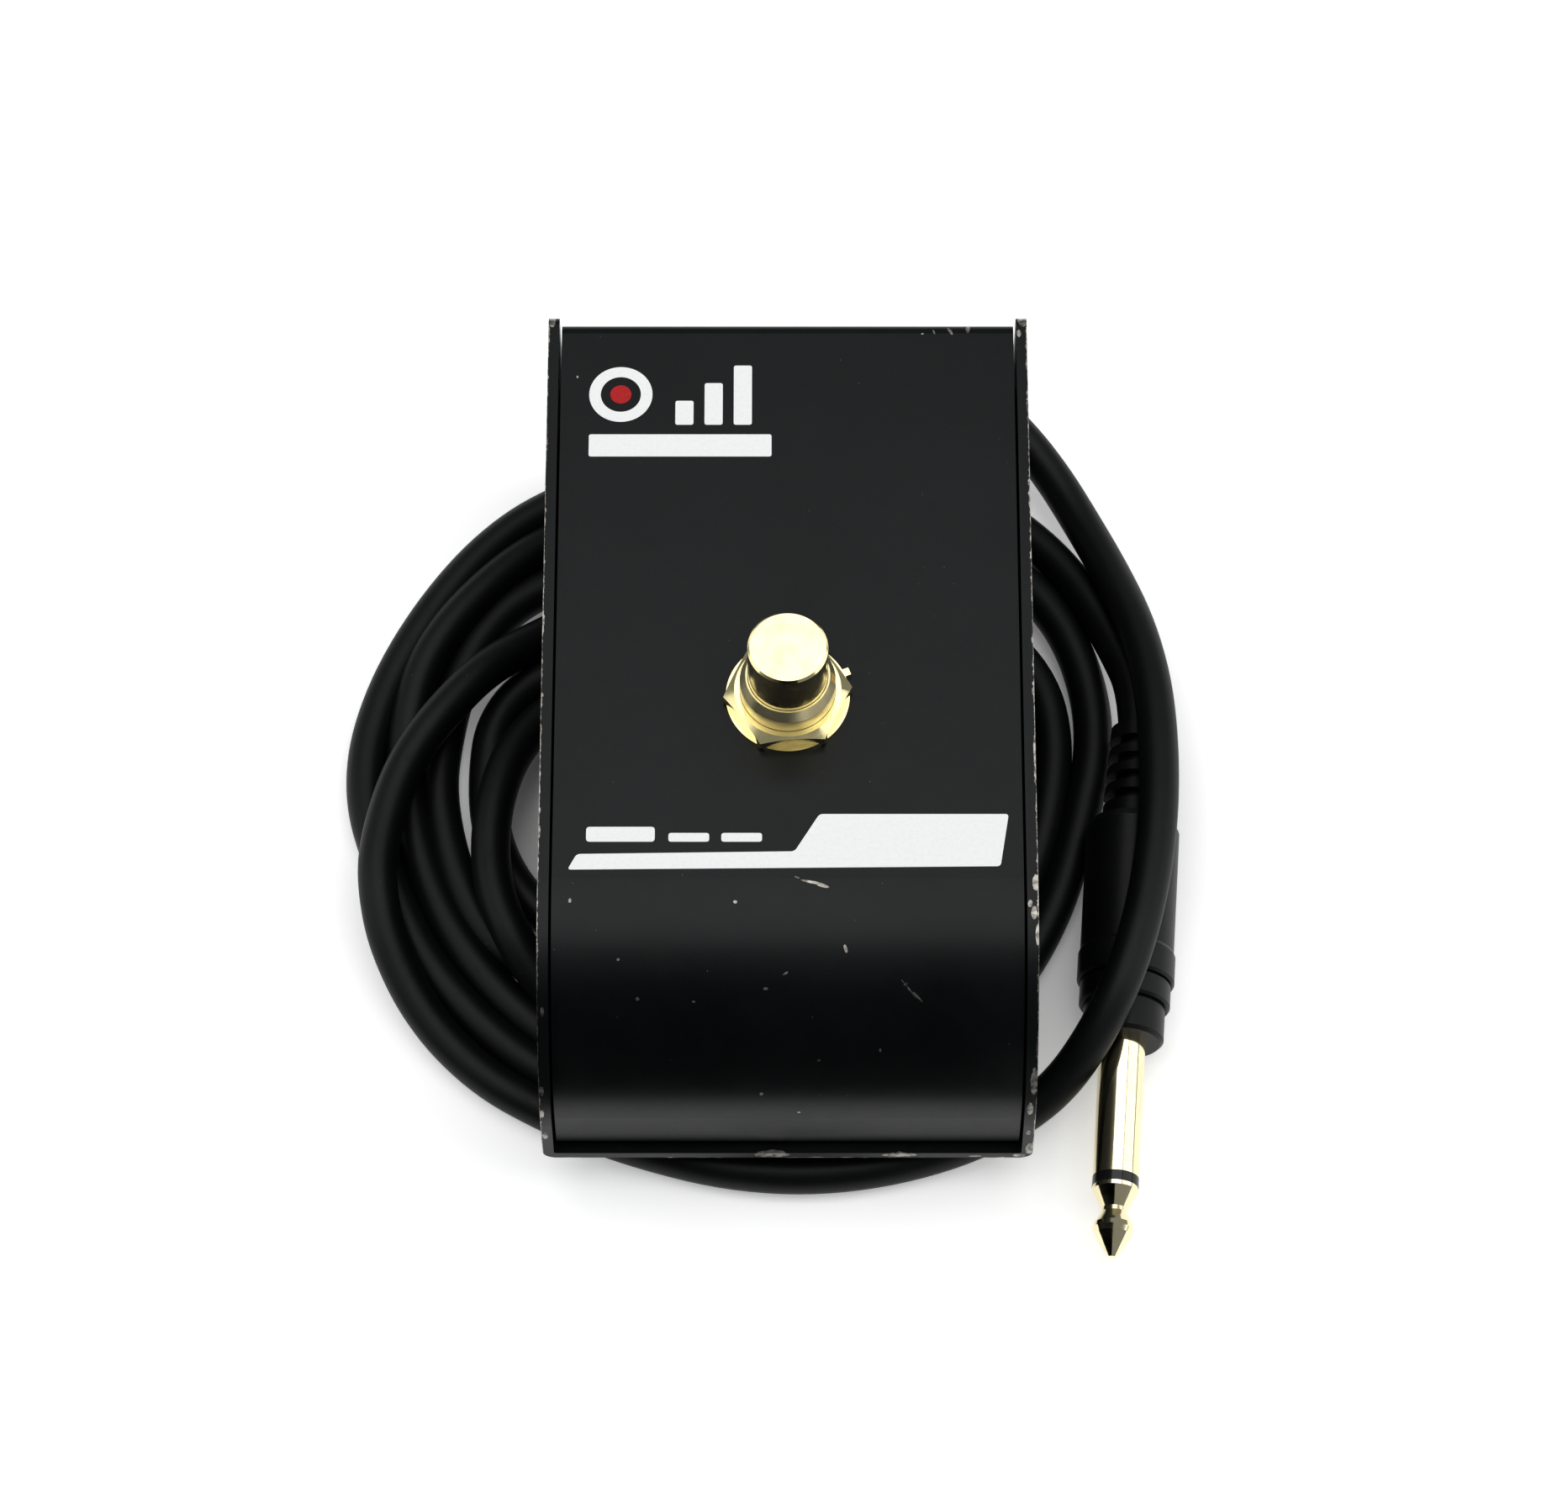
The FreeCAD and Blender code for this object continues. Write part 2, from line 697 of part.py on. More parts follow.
def make_housing():
    """Plastic switch case, open at the top, and the steel bracket that closes and holds it."""
    half_x = dim("housing_width") / 2
    half_y = dim("housing_depth") / 2
    wall = dim("housing_wall")
    case = box("case_block", (-half_x, switch_y - half_y, housing_bottom),
               (dim("housing_width"), dim("housing_depth"), dim("housing_height")))
    inside = box("case_inside", (-half_x + wall, switch_y - half_y + wall,
                                 housing_bottom + dim("housing_floor")),
                 (dim("housing_width") - wall * 2, dim("housing_depth") - wall * 2,
                  dim("housing_height")))
    tools = [inside]
    axle_hole = cylinder("case_axle_hole", dim("axle_radius"), dim("housing_width") - wall,
                         -half_x + wall / 2, switch_y, pivot_z, Rotation(Vector(0, 1, 0), 90))
    tools.append(axle_hole)
    gap = dim("slot_clearance")
    for i, (label, y, top) in enumerate(terminal_list()):
        tools.append(box("case_slot_{}".format(i),
                         (-dim("terminal_width") / 2 - gap, y - dim("terminal_sheet") / 2 - gap,
                          housing_bottom - 1),
                         (dim("terminal_width") + gap * 2, dim("terminal_sheet") + gap * 2,
                          dim("housing_floor") + 2)))
    keep(cut("case", case, tools), "switch_housing")

    thin = dim("frame_sheet")
    outer = box("frame_block", (-half_x - thin, switch_y - half_y + wall, housing_bottom),
                (dim("housing_width") + thin * 2, dim("housing_depth") - wall * 2,
                 dim("housing_height") + thin))
    hollow = box("frame_hollow", (-half_x, switch_y - half_y, housing_bottom - 1),
                 (dim("housing_width"), dim("housing_depth"), dim("housing_height") + 1))
    spigot_hole = cylinder("frame_hole", dim("spigot_radius") + gap, thin + 2,
                           0, switch_y, frame_bottom - 1)
    keep(cut("frame", outer, [hollow, spigot_hole]), "switch_frame")
    keep(cylinder("axle_body", dim("axle_radius"), dim("housing_width") - wall,
                  -half_x + wall / 2, switch_y, pivot_z, Rotation(Vector(0, 1, 0), 90)),
         "rocker_axle")


def make_rocker():
    """See-saw with its contact strip, tipped to one side on the axle."""
    tilt = Rotation(Vector(1, 0, 0), -dim("rocker_tilt").number)
    width = dim("rocker_width")
    length = dim("rocker_half_length")
    low = dim("rocker_bottom")
    bridge_length = length + dim("bridge_overhang")
    lever = prism("rocker_block", "YZ_Plane", -width / 2, [
        (-length, -low),
        (length, -low),
        (length, dim("rocker_top")),
        (-length, dim("rocker_top")),
    ], width)
    bore = cylinder("rocker_bore", dim("axle_radius") + dim("running_clearance"), width + 2,
                    -width / 2 - 1, 0, 0, Rotation(Vector(0, 1, 0), 90))
    rocker = cut("rocker", lever, [bore])
    place(rocker, 0, switch_y, pivot_z, tilt)
    keep(rocker, "contact_rocker")
    strip = prism("bridge_block", "YZ_Plane", -dim("bridge_width") / 2, [
        (-bridge_length, -low - dim("bridge_sheet")),
        (bridge_length, -low - dim("bridge_sheet")),
        (bridge_length, -low),
        (-bridge_length, -low),
    ], dim("bridge_width"))
    place(strip, 0, switch_y, pivot_z, tilt)
    keep(strip, "contact_bridge")


def terminal_list():
    """Label, y and contact height of the three terminals."""
    end_top = housing_bottom + dim("housing_floor") + dim("terminal_reach")
    middle_top = housing_bottom + dim("housing_floor") + dim("common_reach")
    spread = dim("terminal_spread")
    return [
        ("terminal_open", switch_y - spread, end_top),
        ("terminal_common", switch_y, middle_top),
        ("terminal_closed", switch_y + spread, end_top),
    ]


def make_terminals():
    """Three blades through the case floor, each with a round contact on top."""
    for label, y, top in terminal_list():
        blade = box(label + "_blade",
                    (-dim("terminal_width") / 2, y - dim("terminal_sheet") / 2, terminal_bottom),
                    (dim("terminal_width"), dim("terminal_sheet"),
                     top - terminal_bottom - dim("contact_height")))
        head = cylinder(label + "_head", dim("contact_radius"), dim("contact_height"),
                        0, y, top - dim("contact_height"))
        keep(fuse(label + "_body", blade, head), label)


# ---------------------------------------------------------------- the lead
plug_angle = math.radians(dim("plug_lean").number)
plug_axis = Vector(math.sin(plug_angle), math.cos(plug_angle), 0)
plug_turn = Rotation(Vector(0, 0, 1), plug_axis)
grommet_x = -dim("grommet_side")
grommet_z = plate_top + dim("grommet_height")
elbow_corner_reach = 3.7
elbow_mouth_reach = 6.2
elbow_turn = math.radians(65.0)
stub_end_y = cover_rear - dim("stub_length")


def elbow_points(from_y):
    """Centre line through the grommet: straight out of the wall, then round to the right."""
    x = grommet_x.number
    z = grommet_z.number
    corner_y = cover_rear.number + elbow_corner_reach
    mouth_x = x + elbow_mouth_reach * math.sin(elbow_turn)
    mouth_y = corner_y + elbow_mouth_reach * math.cos(elbow_turn)
    return [(x, from_y, z), (x, corner_y, z), (mouth_x, mouth_y, z - 0.3)]


def make_grommet():
    """Angled rubber grommet, the lead's end inside it and the tie that stops the lead."""
    inside_y = cover_rear - dim("cover_sheet") - dim("grommet_flange")
    across = Rotation(Vector(1, 0, 0), 90)
    shape = tube("grommet_elbow", elbow_points(inside_y.number), dim("grommet_body_radius"))
    for name, y in (("outer", cover_rear + dim("grommet_flange")),
                    ("inner", cover_rear - dim("cover_sheet"))):
        rim = cylinder("grommet_rim_" + name, dim("grommet_flange_radius"),
                       dim("grommet_flange"), grommet_x, y, grommet_z, across)
        shape = fuse("grommet_with_" + name, shape, rim)
    bore_path = elbow_points(inside_y.number - 1.0)
    bore = tube("grommet_bore", bore_path, dim("lead_radius") + dim("slot_clearance"))
    keep(cut("grommet", shape, [bore]), "cable_grommet")
    stub = tube("stub", elbow_points(stub_end_y.number), dim("lead_radius"))
    keep(stub, "lead_inner_end")

    ring = cylinder("tie_ring", dim("lead_radius") + dim("tie_thickness"), dim("tie_width"),
                    grommet_x, inside_y, grommet_z, across)
    head = box("tie_head", (grommet_x - dim("tie_head") / 2, inside_y - dim("tie_width"),
                            grommet_z + dim("lead_radius") + 0.4),
               (dim("tie_head"), dim("tie_width"), dim("tie_head")))
    hole = cylinder("tie_hole", dim("lead_radius") + dim("slot_clearance"),
                    dim("tie_width") + 2, grommet_x, inside_y + 1, grommet_z, across)
    keep(cut("tie", fuse("tie_blank", ring, head), [hole]), "cable_tie")


def make_wires():
    """The lead's two cores, from its inner end to their terminals."""
    x = grommet_x.number
    y = stub_end_y.number
    z = grommet_z.number
    aside = dim("wire_spacing").number
    low = terminal_bottom.number + 1.0
    closed_y = (switch_y + dim("terminal_spread") + dim("terminal_sheet") / 2).number
    common_x = -dim("terminal_width").number / 2
    common_y = switch_y.number
    signal = [(x + aside, y, z), (x + aside, y - 9, z), (x + 2.4, y - 18, z - 1.2),
              (-0.6, y - 27, low + 0.3), (0, closed_y + 9, low), (0, closed_y, low)]
    ground = [(x - aside, y, z), (x - aside, y - 9, z), (x - 2.4, y - 18, z - 1.5),
              (x - 3.6, y - 28, low), (x - 3.4, common_y + 10, low - 0.4),
              (x - 2.6, common_y + 3.6, low - 0.2), (common_x - 3.4, common_y, low),
              (common_x, common_y, low)]
    keep(tube("signal_core", signal, dim("wire_radius")), "signal_wire")
    keep(tube("ground_core", ground, dim("wire_radius")), "ground_wire")


def make_coil():
    """The coil's outer shape: a ring, flatter beside the plug, and the turn that crosses it."""
    x = dim("coil_middle_x")
    y = dim("coil_middle_y")
    ring = cylinder("coil_ring", dim("coil_outer_radius"), coil_top, x, y, 0)
    flat_side = cylinder("coil_flat_side", dim("coil_flat_radius"), coil_top,
                         dim("coil_flat_x"), dim("coil_flat_y"), 0)
    hole = cylinder("coil_hole", dim("coil_inner_radius"), coil_top + 2, x, y, -1)
    channel = cylinder("coil_channel", dim("grip_band_radius") + dim("plug_channel_clearance"),
                       dim("plug_metal_length") + dim("grip_length") + dim("relief_length"),
                       dim("plug_tip_x"), dim("plug_tip_y"), dim("plug_axis_height"), plug_turn)
    flat_ring = cut("coil_flat", common("coil_disc", ring, flat_side), [hole, channel])
    start = Rotation(Vector(0, 0, 1), dim("crossing_start").number)
    arc = cylinder("coil_crossing", dim("coil_outer_radius"), coil_top * 2, x, y, 0,
                   start, dim("crossing_sweep"))
    arc_hole = cylinder("coil_crossing_hole", dim("crossing_inner_radius"), coil_top * 2 + 2,
                        x, y, -1)
    upper = cut("coil_upper", arc, [arc_hole])
    keep(fuse("coil", flat_ring, upper), "lead_coil")


# The lead from the grommet's mouth, behind the box, over the plug and down under the front.
LEAD_OUT = [
    (14.0, 65.6, 13.9),
    (21.5, 65.8, 11.0),
    (28.6, 63.6, 8.2),
    (34.5, 58.9, 5.9),
    (39.3, 52.6, 4.7),
    (43.2, 45.0, 4.8),
    (47.0, 35.4, 7.3),
    (50.1, 25.0, 11.0),
    (51.8, 14.5, 13.9),
    (52.3, 4.0, 15.4),
    (51.8, -6.5, 16.5),
    (50.4, -16.5, 16.8),
    (48.2, -25.5, 16.8),
    (45.4, -33.4, 16.1),
    (41.6, -39.9, 12.5),
    (36.9, -44.6, 7.6),
    (30.6, -48.6, 4.4),
    (22.3, -52.1, 3.0),
    (12.0, -54.6, 2.75),
    (1.5, -55.6, 2.75),
]

# The lead from the plug's strain relief back into the coil behind the box.
LEAD_TO_PLUG = [
    (48.7, 21.3, 6.1),
    (46.0, 28.0, 4.9),
    (41.7, 35.0, 3.6),
    (36.0, 42.2, 2.85),
    (28.8, 48.0, 2.75),
    (19.6, 52.3, 2.75),
    (9.0, 54.6, 2.75),
    (-2.0, 55.0, 2.75),
]


def make_lead():
    """The two stretches of lead that aren't coiled."""
    corner, mouth = elbow_points(cover_rear.number)[1:]
    leaving = Vector(*mouth) - Vector(*corner)
    leaving.normalize()
    first = Vector(*mouth) + leaving * 6.0
    points = [mouth, tuple(first)] + LEAD_OUT
    keep(tube("lead_out", points, dim("lead_radius")), "lead_out_tube")
    grip_end = dim("plug_metal_length") + dim("grip_length") + dim("relief_length")
    relief_end = plug_point(grip_end.number)
    onward = plug_point(grip_end.number + 5.5)
    points = [relief_end, onward] + LEAD_TO_PLUG
    keep(tube("lead_plug", points, dim("lead_radius")), "lead_plug_tube")


# ---------------------------------------------------------------- the plug
def plug_point(distance):
    """A point on the plug's axis, this far from its tip."""
    return (dim("plug_tip_x").number + plug_axis.x * distance,
            dim("plug_tip_y").number + plug_axis.y * distance,
            dim("plug_axis_height").number)


def plug_piece(name, label, corners):
    """A turned piece of the plug, its heights counted from the tip."""
    body = turned(name, corners, dim("plug_tip_x"), dim("plug_tip_y"),
                  dim("plug_axis_height"), plug_turn)
    return keep(body, label)


def make_plug():
    """Two-pole plug: tip and rod, insulator, sleeve, moulded grip and strain relief."""
    radius = dim("plug_radius")
    rod = dim("plug_rod_radius")
    fit = dim("plug_fit")
    ring = dim("plug_ring_start")
    ring_end = ring + dim("plug_ring_length")
    shoulder = dim("plug_metal_length")
    shank = dim("plug_shank_radius")
    inner_end = shoulder + dim("plug_socket_depth") - 0.1
    tube_radius = rod + fit + dim("plug_tube_wall")
    plug_piece("tip", "plug_tip", [
        (0, 0), (0.55, 0), (2.55, 3.2), (2.87, 3.9), (2.75, 4.6), (1.75, 6.4), (1.7, 7.0),
        (2.95, 9.2), (radius - 0.05, 9.5), (radius - 0.05, ring), (rod, ring),
        (rod, inner_end), (0, inner_end),
    ])
    plug_piece("insulator", "plug_insulator", [
        (rod + fit, ring), (radius, ring), (radius, ring_end), (tube_radius, ring_end),
        (tube_radius, inner_end), (rod + fit, inner_end),
    ])
    plug_piece("sleeve", "plug_sleeve", [
        (tube_radius + fit, ring_end), (radius, ring_end), (radius, shoulder),
        (shank, shoulder), (shank, inner_end), (tube_radius + fit, inner_end),
    ])
    nose = dim("grip_nose_radius")
    step = dim("grip_step_radius")
    band = dim("grip_band_radius")
    body = dim("grip_body_radius")
    groove = nose - 0.35
    end = shoulder + dim("grip_length")
    pocket = shoulder + dim("plug_socket_depth")
    plug_piece("grip", "plug_grip", [
        (shank + fit, shoulder), (nose - 0.5, shoulder), (nose, shoulder + 0.5),
        (nose, shoulder + 4.8), (groove, shoulder + 4.8), (groove, shoulder + 5.15),
        (step - 0.3, shoulder + 5.15), (step, shoulder + 5.5), (step, shoulder + 8.4),
        (groove, shoulder + 8.4), (groove, shoulder + 8.75), (band - 0.3, shoulder + 8.75),
        (band, shoulder + 9.1), (band, shoulder + 12.9), (body, shoulder + 13.5),
        (body, end - 1.6), (body - 0.5, end - 0.5), (body - 1.6, end),
        (0, end), (0, pocket), (shank + fit, pocket),
    ])
    root = dim("relief_root_radius")
    tip = dim("relief_end_radius")
    depth = dim("relief_groove_depth")
    grooves = 4
    pitch = dim("relief_length") / (grooves + 1)
    corners = [(0, end), (root, end)]
    for i in range(grooves):
        share = (i + 1) / (grooves + 1)
        ring_radius = root + (tip - root) * share
        middle = end + pitch * (i + 1)
        corners.append((ring_radius, middle - 0.7))
        corners.append((ring_radius - depth, middle - 0.7))
        corners.append((ring_radius - depth, middle + 0.7))
        corners.append((ring_radius, middle + 0.7))
    corners.append((tip, end + dim("relief_length")))
    corners.append((0, end + dim("relief_length")))
    plug_piece("relief", "plug_strain_relief", corners)


def check_document():
    """Stop unless every object recomputed and every piece is a valid closed shape."""
    doc.recompute()
    for obj in doc.Objects:
        if "Invalid" in obj.State or "Error" in obj.State:
            raise RuntimeError("{} did not recompute: {}".format(obj.Name, obj.State))
    for node in nodes:
        if node.Shape.isNull() or not node.Shape.isValid() or not node.Shape.Solids:
            raise RuntimeError("{} has no valid solid".format(node.Label))


def write_parts():
    """One STEP file for each piece, named after it."""
    os.makedirs("parts", exist_ok=True)
    for node in nodes:
        node.Shape.exportStep(os.path.join("parts", node.Label + ".step"))
        print("{:22s} {:10.1f} mm3".format(node.Label, node.Shape.Volume))


make_base()
make_cover()
make_screws()
make_feet()
make_bush()
make_nut("upper_nut", "switch_hex_nut", washer_top, dim("nut_turn").number)
make_nut("lower_nut", "switch_lower_nut", lower_nut_top - dim("nut_thickness"), 0.0)
make_washers()
make_button()
make_spring()
make_housing()
make_rocker()
make_terminals()
make_grommet()
make_wires()
make_coil()
make_plug()
make_lead()
check_document()
write_parts()
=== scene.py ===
"""Finishes, lead, print, light and camera for a foot switch that lies on its coiled lead."""
import json
import math
import bpy
import numpy as np
from mathutils import Matrix, Vector


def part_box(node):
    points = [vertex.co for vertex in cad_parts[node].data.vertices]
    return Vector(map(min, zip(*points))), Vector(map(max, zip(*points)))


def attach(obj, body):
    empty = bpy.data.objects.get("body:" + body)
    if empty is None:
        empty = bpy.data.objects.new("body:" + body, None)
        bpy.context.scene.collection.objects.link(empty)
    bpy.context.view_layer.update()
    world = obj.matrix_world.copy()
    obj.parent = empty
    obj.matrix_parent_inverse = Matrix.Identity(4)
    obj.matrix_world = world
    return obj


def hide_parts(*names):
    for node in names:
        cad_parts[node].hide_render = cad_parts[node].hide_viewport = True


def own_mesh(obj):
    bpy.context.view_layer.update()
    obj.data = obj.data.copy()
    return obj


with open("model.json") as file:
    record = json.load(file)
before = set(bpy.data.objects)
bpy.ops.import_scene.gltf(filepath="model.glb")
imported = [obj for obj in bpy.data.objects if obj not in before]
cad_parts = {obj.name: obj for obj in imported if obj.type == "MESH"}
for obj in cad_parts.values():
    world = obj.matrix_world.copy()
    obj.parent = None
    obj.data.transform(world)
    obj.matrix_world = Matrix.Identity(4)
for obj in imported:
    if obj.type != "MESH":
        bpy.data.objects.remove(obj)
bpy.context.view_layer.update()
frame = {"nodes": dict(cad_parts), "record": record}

MM = 0.001


# ---------------------------------------------------------------- surfaces and meshes
def mesh_piece(name, points, faces, finish, smooth=True):
    """A mesh object at the origin from points in millimetres and faces, in one finish."""
    mesh = bpy.data.meshes.new(name)
    mesh.from_pydata((np.asarray(points) * MM).tolist(), [], [list(f) for f in faces])
    mesh.polygons.foreach_set("use_smooth", [smooth] * len(mesh.polygons))
    mesh.materials.append(finish)
    mesh.update()
    piece = bpy.data.objects.new(name, mesh)
    bpy.context.scene.collection.objects.link(piece)
    return piece


def grid_faces(rows, columns):
    """Quads between a grid's neighbours, closed round the columns."""
    r, c = np.meshgrid(np.arange(rows - 1), np.arange(columns), indexing="ij")
    ahead = (c + 1) % columns
    quads = np.stack([r * columns + c, r * columns + ahead,
                      (r + 1) * columns + ahead, (r + 1) * columns + c], axis=-1)
    return quads.reshape(-1, 4).tolist()


def round_wire(path, radius, sides):
    """Points of a round wire: at each path point p, p + radius (cos a * side + sin a * up),
    where side and up are square to the path's direction there."""
    ahead = np.gradient(path, axis=0)
    ahead /= np.linalg.norm(ahead, axis=1, keepdims=True)
    side = np.cross(ahead, [0.0, 0.0, 1.0])
    side /= np.linalg.norm(side, axis=1, keepdims=True)
    up = np.cross(ahead, side)
    angle = np.linspace(0, 2 * math.pi, sides, endpoint=False)[None, :, None]
    rings = path[:, None] + radius * (np.cos(angle) * side[:, None] + np.sin(angle) * up[:, None])
    return rings.reshape(-1, 3)


# ---------------------------------------------------------------- finishes
class Finish:
    """A material whose patterns are read in millimetres on the object's own coordinates."""

    def __init__(self, name, **fixed):
        self.material = bpy.data.materials.new(name)
        self.material.use_nodes = True
        self.tree = self.material.node_tree
        self.shader = self.tree.nodes["Principled BSDF"]
        for socket, value in fixed.items():
            self.shader.inputs[socket.replace("_", " ")].default_value = value
        own = self.add("ShaderNodeTexCoord").outputs["Object"]
        self.mm = self.vector("SCALE", own, scale=1000.0)
        self.height = None

    def add(self, kind, **settings):
        """A new node with its settings."""
        node = self.tree.nodes.new(kind)
        for key, value in settings.items():
            setattr(node, key, value)
        return node

    def feed(self, socket, value):
        """Link or set one input."""
        if isinstance(value, bpy.types.NodeSocket):
            self.tree.links.new(value, socket)
        else:
            socket.default_value = value

    def math(self, operation, *values):
        """A number worked out from sockets or numbers."""
        node = self.add("ShaderNodeMath", operation=operation)
        for socket, value in zip(node.inputs, values):
            self.feed(socket, value)
        return node.outputs[0]

    def vector(self, operation, *values, scale=None):
        """A vector, or its length, worked out from vectors."""
        node = self.add("ShaderNodeVectorMath", operation=operation)
        for socket, value in zip(node.inputs, values):
            self.feed(socket, value)
        if scale is not None:
            node.inputs["Scale"].default_value = scale
        return node.outputs["Value" if operation == "LENGTH" else "Vector"]

    def axes(self, place=None):
        """The x, y and z of a place in millimetres."""
        node = self.add("ShaderNodeSeparateXYZ")
        self.feed(node.inputs[0], place or self.mm)
        return node.outputs

    def stretch(self, by, turn=(0, 0, 0)):
        """The object's place turned and stretched, for drawn or brushed patterns."""
        node = self.add("ShaderNodeMapping", vector_type="POINT")
        self.feed(node.inputs["Vector"], self.mm)
        node.inputs["Rotation"].default_value = turn
        node.inputs["Scale"].default_value = by
        return node.outputs[0]

    def noise(self, grain, detail=3.0, rough=0.55, place=None):
        """Cloudy noise from 0 to 1, its grains about that many millimetres across."""
        node = self.add("ShaderNodeTexNoise")
        self.feed(node.inputs["Vector"], place or self.mm)
        for socket, value in (("Scale", 1.0 / grain), ("Detail", detail), ("Roughness", rough)):
            node.inputs[socket].default_value = value
        return node.outputs[0]

    def cells(self, grain):
        """Distance and colour of the nearest scattered point, in cells that many millimetres."""
        node = self.add("ShaderNodeTexVoronoi", feature="F1")
        self.feed(node.inputs["Vector"], self.mm)
        node.inputs["Scale"].default_value = 1.0 / grain
        return node.outputs

    def span(self, value, low, high, out_low=0.0, out_high=1.0):
        """The value moved evenly from one span to another and held there."""
        node = self.add("ShaderNodeMapRange", clamp=True)
        for socket, number in zip(node.inputs, (value, low, high, out_low, out_high)):
            self.feed(socket, number)
        return node.outputs[0]

    def blend(self, share, first, second):
        """Two colours mixed by a share."""
        node = self.add("ShaderNodeMix", data_type="RGBA")
        self.feed(node.inputs["Factor"], share)
        for number, colour in ((6, first), (7, second)):
            self.feed(node.inputs[number], (*colour, 1.0) if isinstance(colour, tuple) else colour)
        return node.outputs[2]

    def most(self, *values):
        """The largest of several numbers."""
        top = values[0]
        for value in values[1:]:
            top = self.math("MAXIMUM", top, value)
        return top

    def patch(self, torn, centre, half, turn):
        """1 inside a spot of those half sizes round the centre, its edge made ragged by the
        torn noise, else 0."""
        node = self.add("ShaderNodeMapping", vector_type="TEXTURE")
        self.feed(node.inputs["Vector"], self.mm)
        node.inputs["Location"].default_value = centre
        node.inputs["Rotation"].default_value = (0, 0, turn)
        node.inputs["Scale"].default_value = half
        reach = self.vector("LENGTH", node.outputs[0])
        edge = self.math("MULTIPLY_ADD", torn, 2 * CHIP_RAGGED, 1.0 - CHIP_RAGGED)
        return self.math("LESS_THAN", reach, edge)

    def bump(self, height, depth_mm, strength=1.0):
        """Add a height from 0 to 1 to the surface, that many millimetres deep, on top of any
        height added before."""
        node = self.add("ShaderNodeBump")
        self.feed(node.inputs["Height"], height)
        node.inputs["Distance"].default_value = depth_mm * MM
        node.inputs["Strength"].default_value = strength
        if self.height is not None:
            self.tree.links.new(self.height, node.inputs["Normal"])
        self.height = node.outputs[0]
        self.tree.links.new(self.height, self.shader.inputs["Normal"])

    def use(self, **sockets):
        """Link worked-out values to the shader."""
        for socket, value in sockets.items():
            self.feed(self.shader.inputs[socket.replace("_", " ")], value)
        return self.material


CHIP_RAGGED = 0.35                      # how far a chip's edge strays, as a share of its size
PAINT_BLACK = (0.0022, 0.0030, 0.0036)
PAINT_DUSTY = (0.0058, 0.0072, 0.0078)
BARE_STEEL = (0.46, 0.44, 0.40)
DARK_STEEL = (0.11, 0.10, 0.09)
DUST_GREY = (0.20, 0.205, 0.20)


def paint(name, chips, edge_wear, dust_amount):
    """Satin black paint with fine texture, dust specks and bare steel where it is chipped. The
    dust amount is the share of cells that hold a speck."""
    f = Finish(name, Specular_IOR_Level=0.31)
    x, y, z = f.axes()[:3]
    torn = f.noise(0.55, 4.0, 0.65)
    worn = f.most(*[f.patch(torn, *chip) for chip in chips])
    if edge_wear is not None:
        worn = f.most(worn, edge_wear(f, torn, x, y, z))
    # rare pin-point chips: the middles of a few scattered cells
    scattered = f.cells(6.5)
    rare = f.math("GREATER_THAN", f.axes(scattered["Color"])[0], 0.80)
    pin = f.math("LESS_THAN", scattered["Distance"], 0.011)
    worn = f.most(worn, f.math("MULTIPLY", pin, rare))
    # dust: the same, finer, paler and more of them
    motes = f.cells(1.25)
    some = f.math("GREATER_THAN", f.axes(motes["Color"])[1], 1.0 - dust_amount)
    small = f.math("LESS_THAN", motes["Distance"], 0.060)
    dust = f.math("MULTIPLY", some, small)
    cloud = f.noise(24.0, 3.0, 0.6)
    fine = f.noise(0.32, 2.0, 0.6)
    tone = f.span(f.math("ADD", f.math("MULTIPLY", cloud, 0.7), f.math("MULTIPLY", fine, 0.3)),
                  0.35, 0.68)
    colour = f.blend(tone, PAINT_BLACK, PAINT_DUSTY)
    colour = f.blend(f.math("MULTIPLY", dust, 0.5), colour, DUST_GREY)
    steel = f.blend(f.span(f.noise(0.8, 3.0), 0.35, 0.6), DARK_STEEL, BARE_STEEL)
    colour = f.blend(worn, colour, steel)
    rough = f.math("MULTIPLY_ADD", f.noise(3.0, 4.0, 0.7), 0.12, 0.27)
    rough = f.math("MULTIPLY_ADD", worn, -0.02, rough)
    f.bump(f.noise(0.42, 3.0, 0.5), 0.012, 0.55)
    f.bump(f.math("SUBTRACT", 1.0, worn), 0.05, 0.8)
    return f.use(Base_Color=colour, Roughness=rough, Metallic=f.math("MULTIPLY", worn, 0.85))


SIDE_CURVE = (-31.15, 19.0, 24.6)       # middle y, middle z and radius of the walls' front corner
WALL_OUTSIDE = 33.0
BASE_FRONT = 55.75
BASE_UNDERSIDE = 8.5


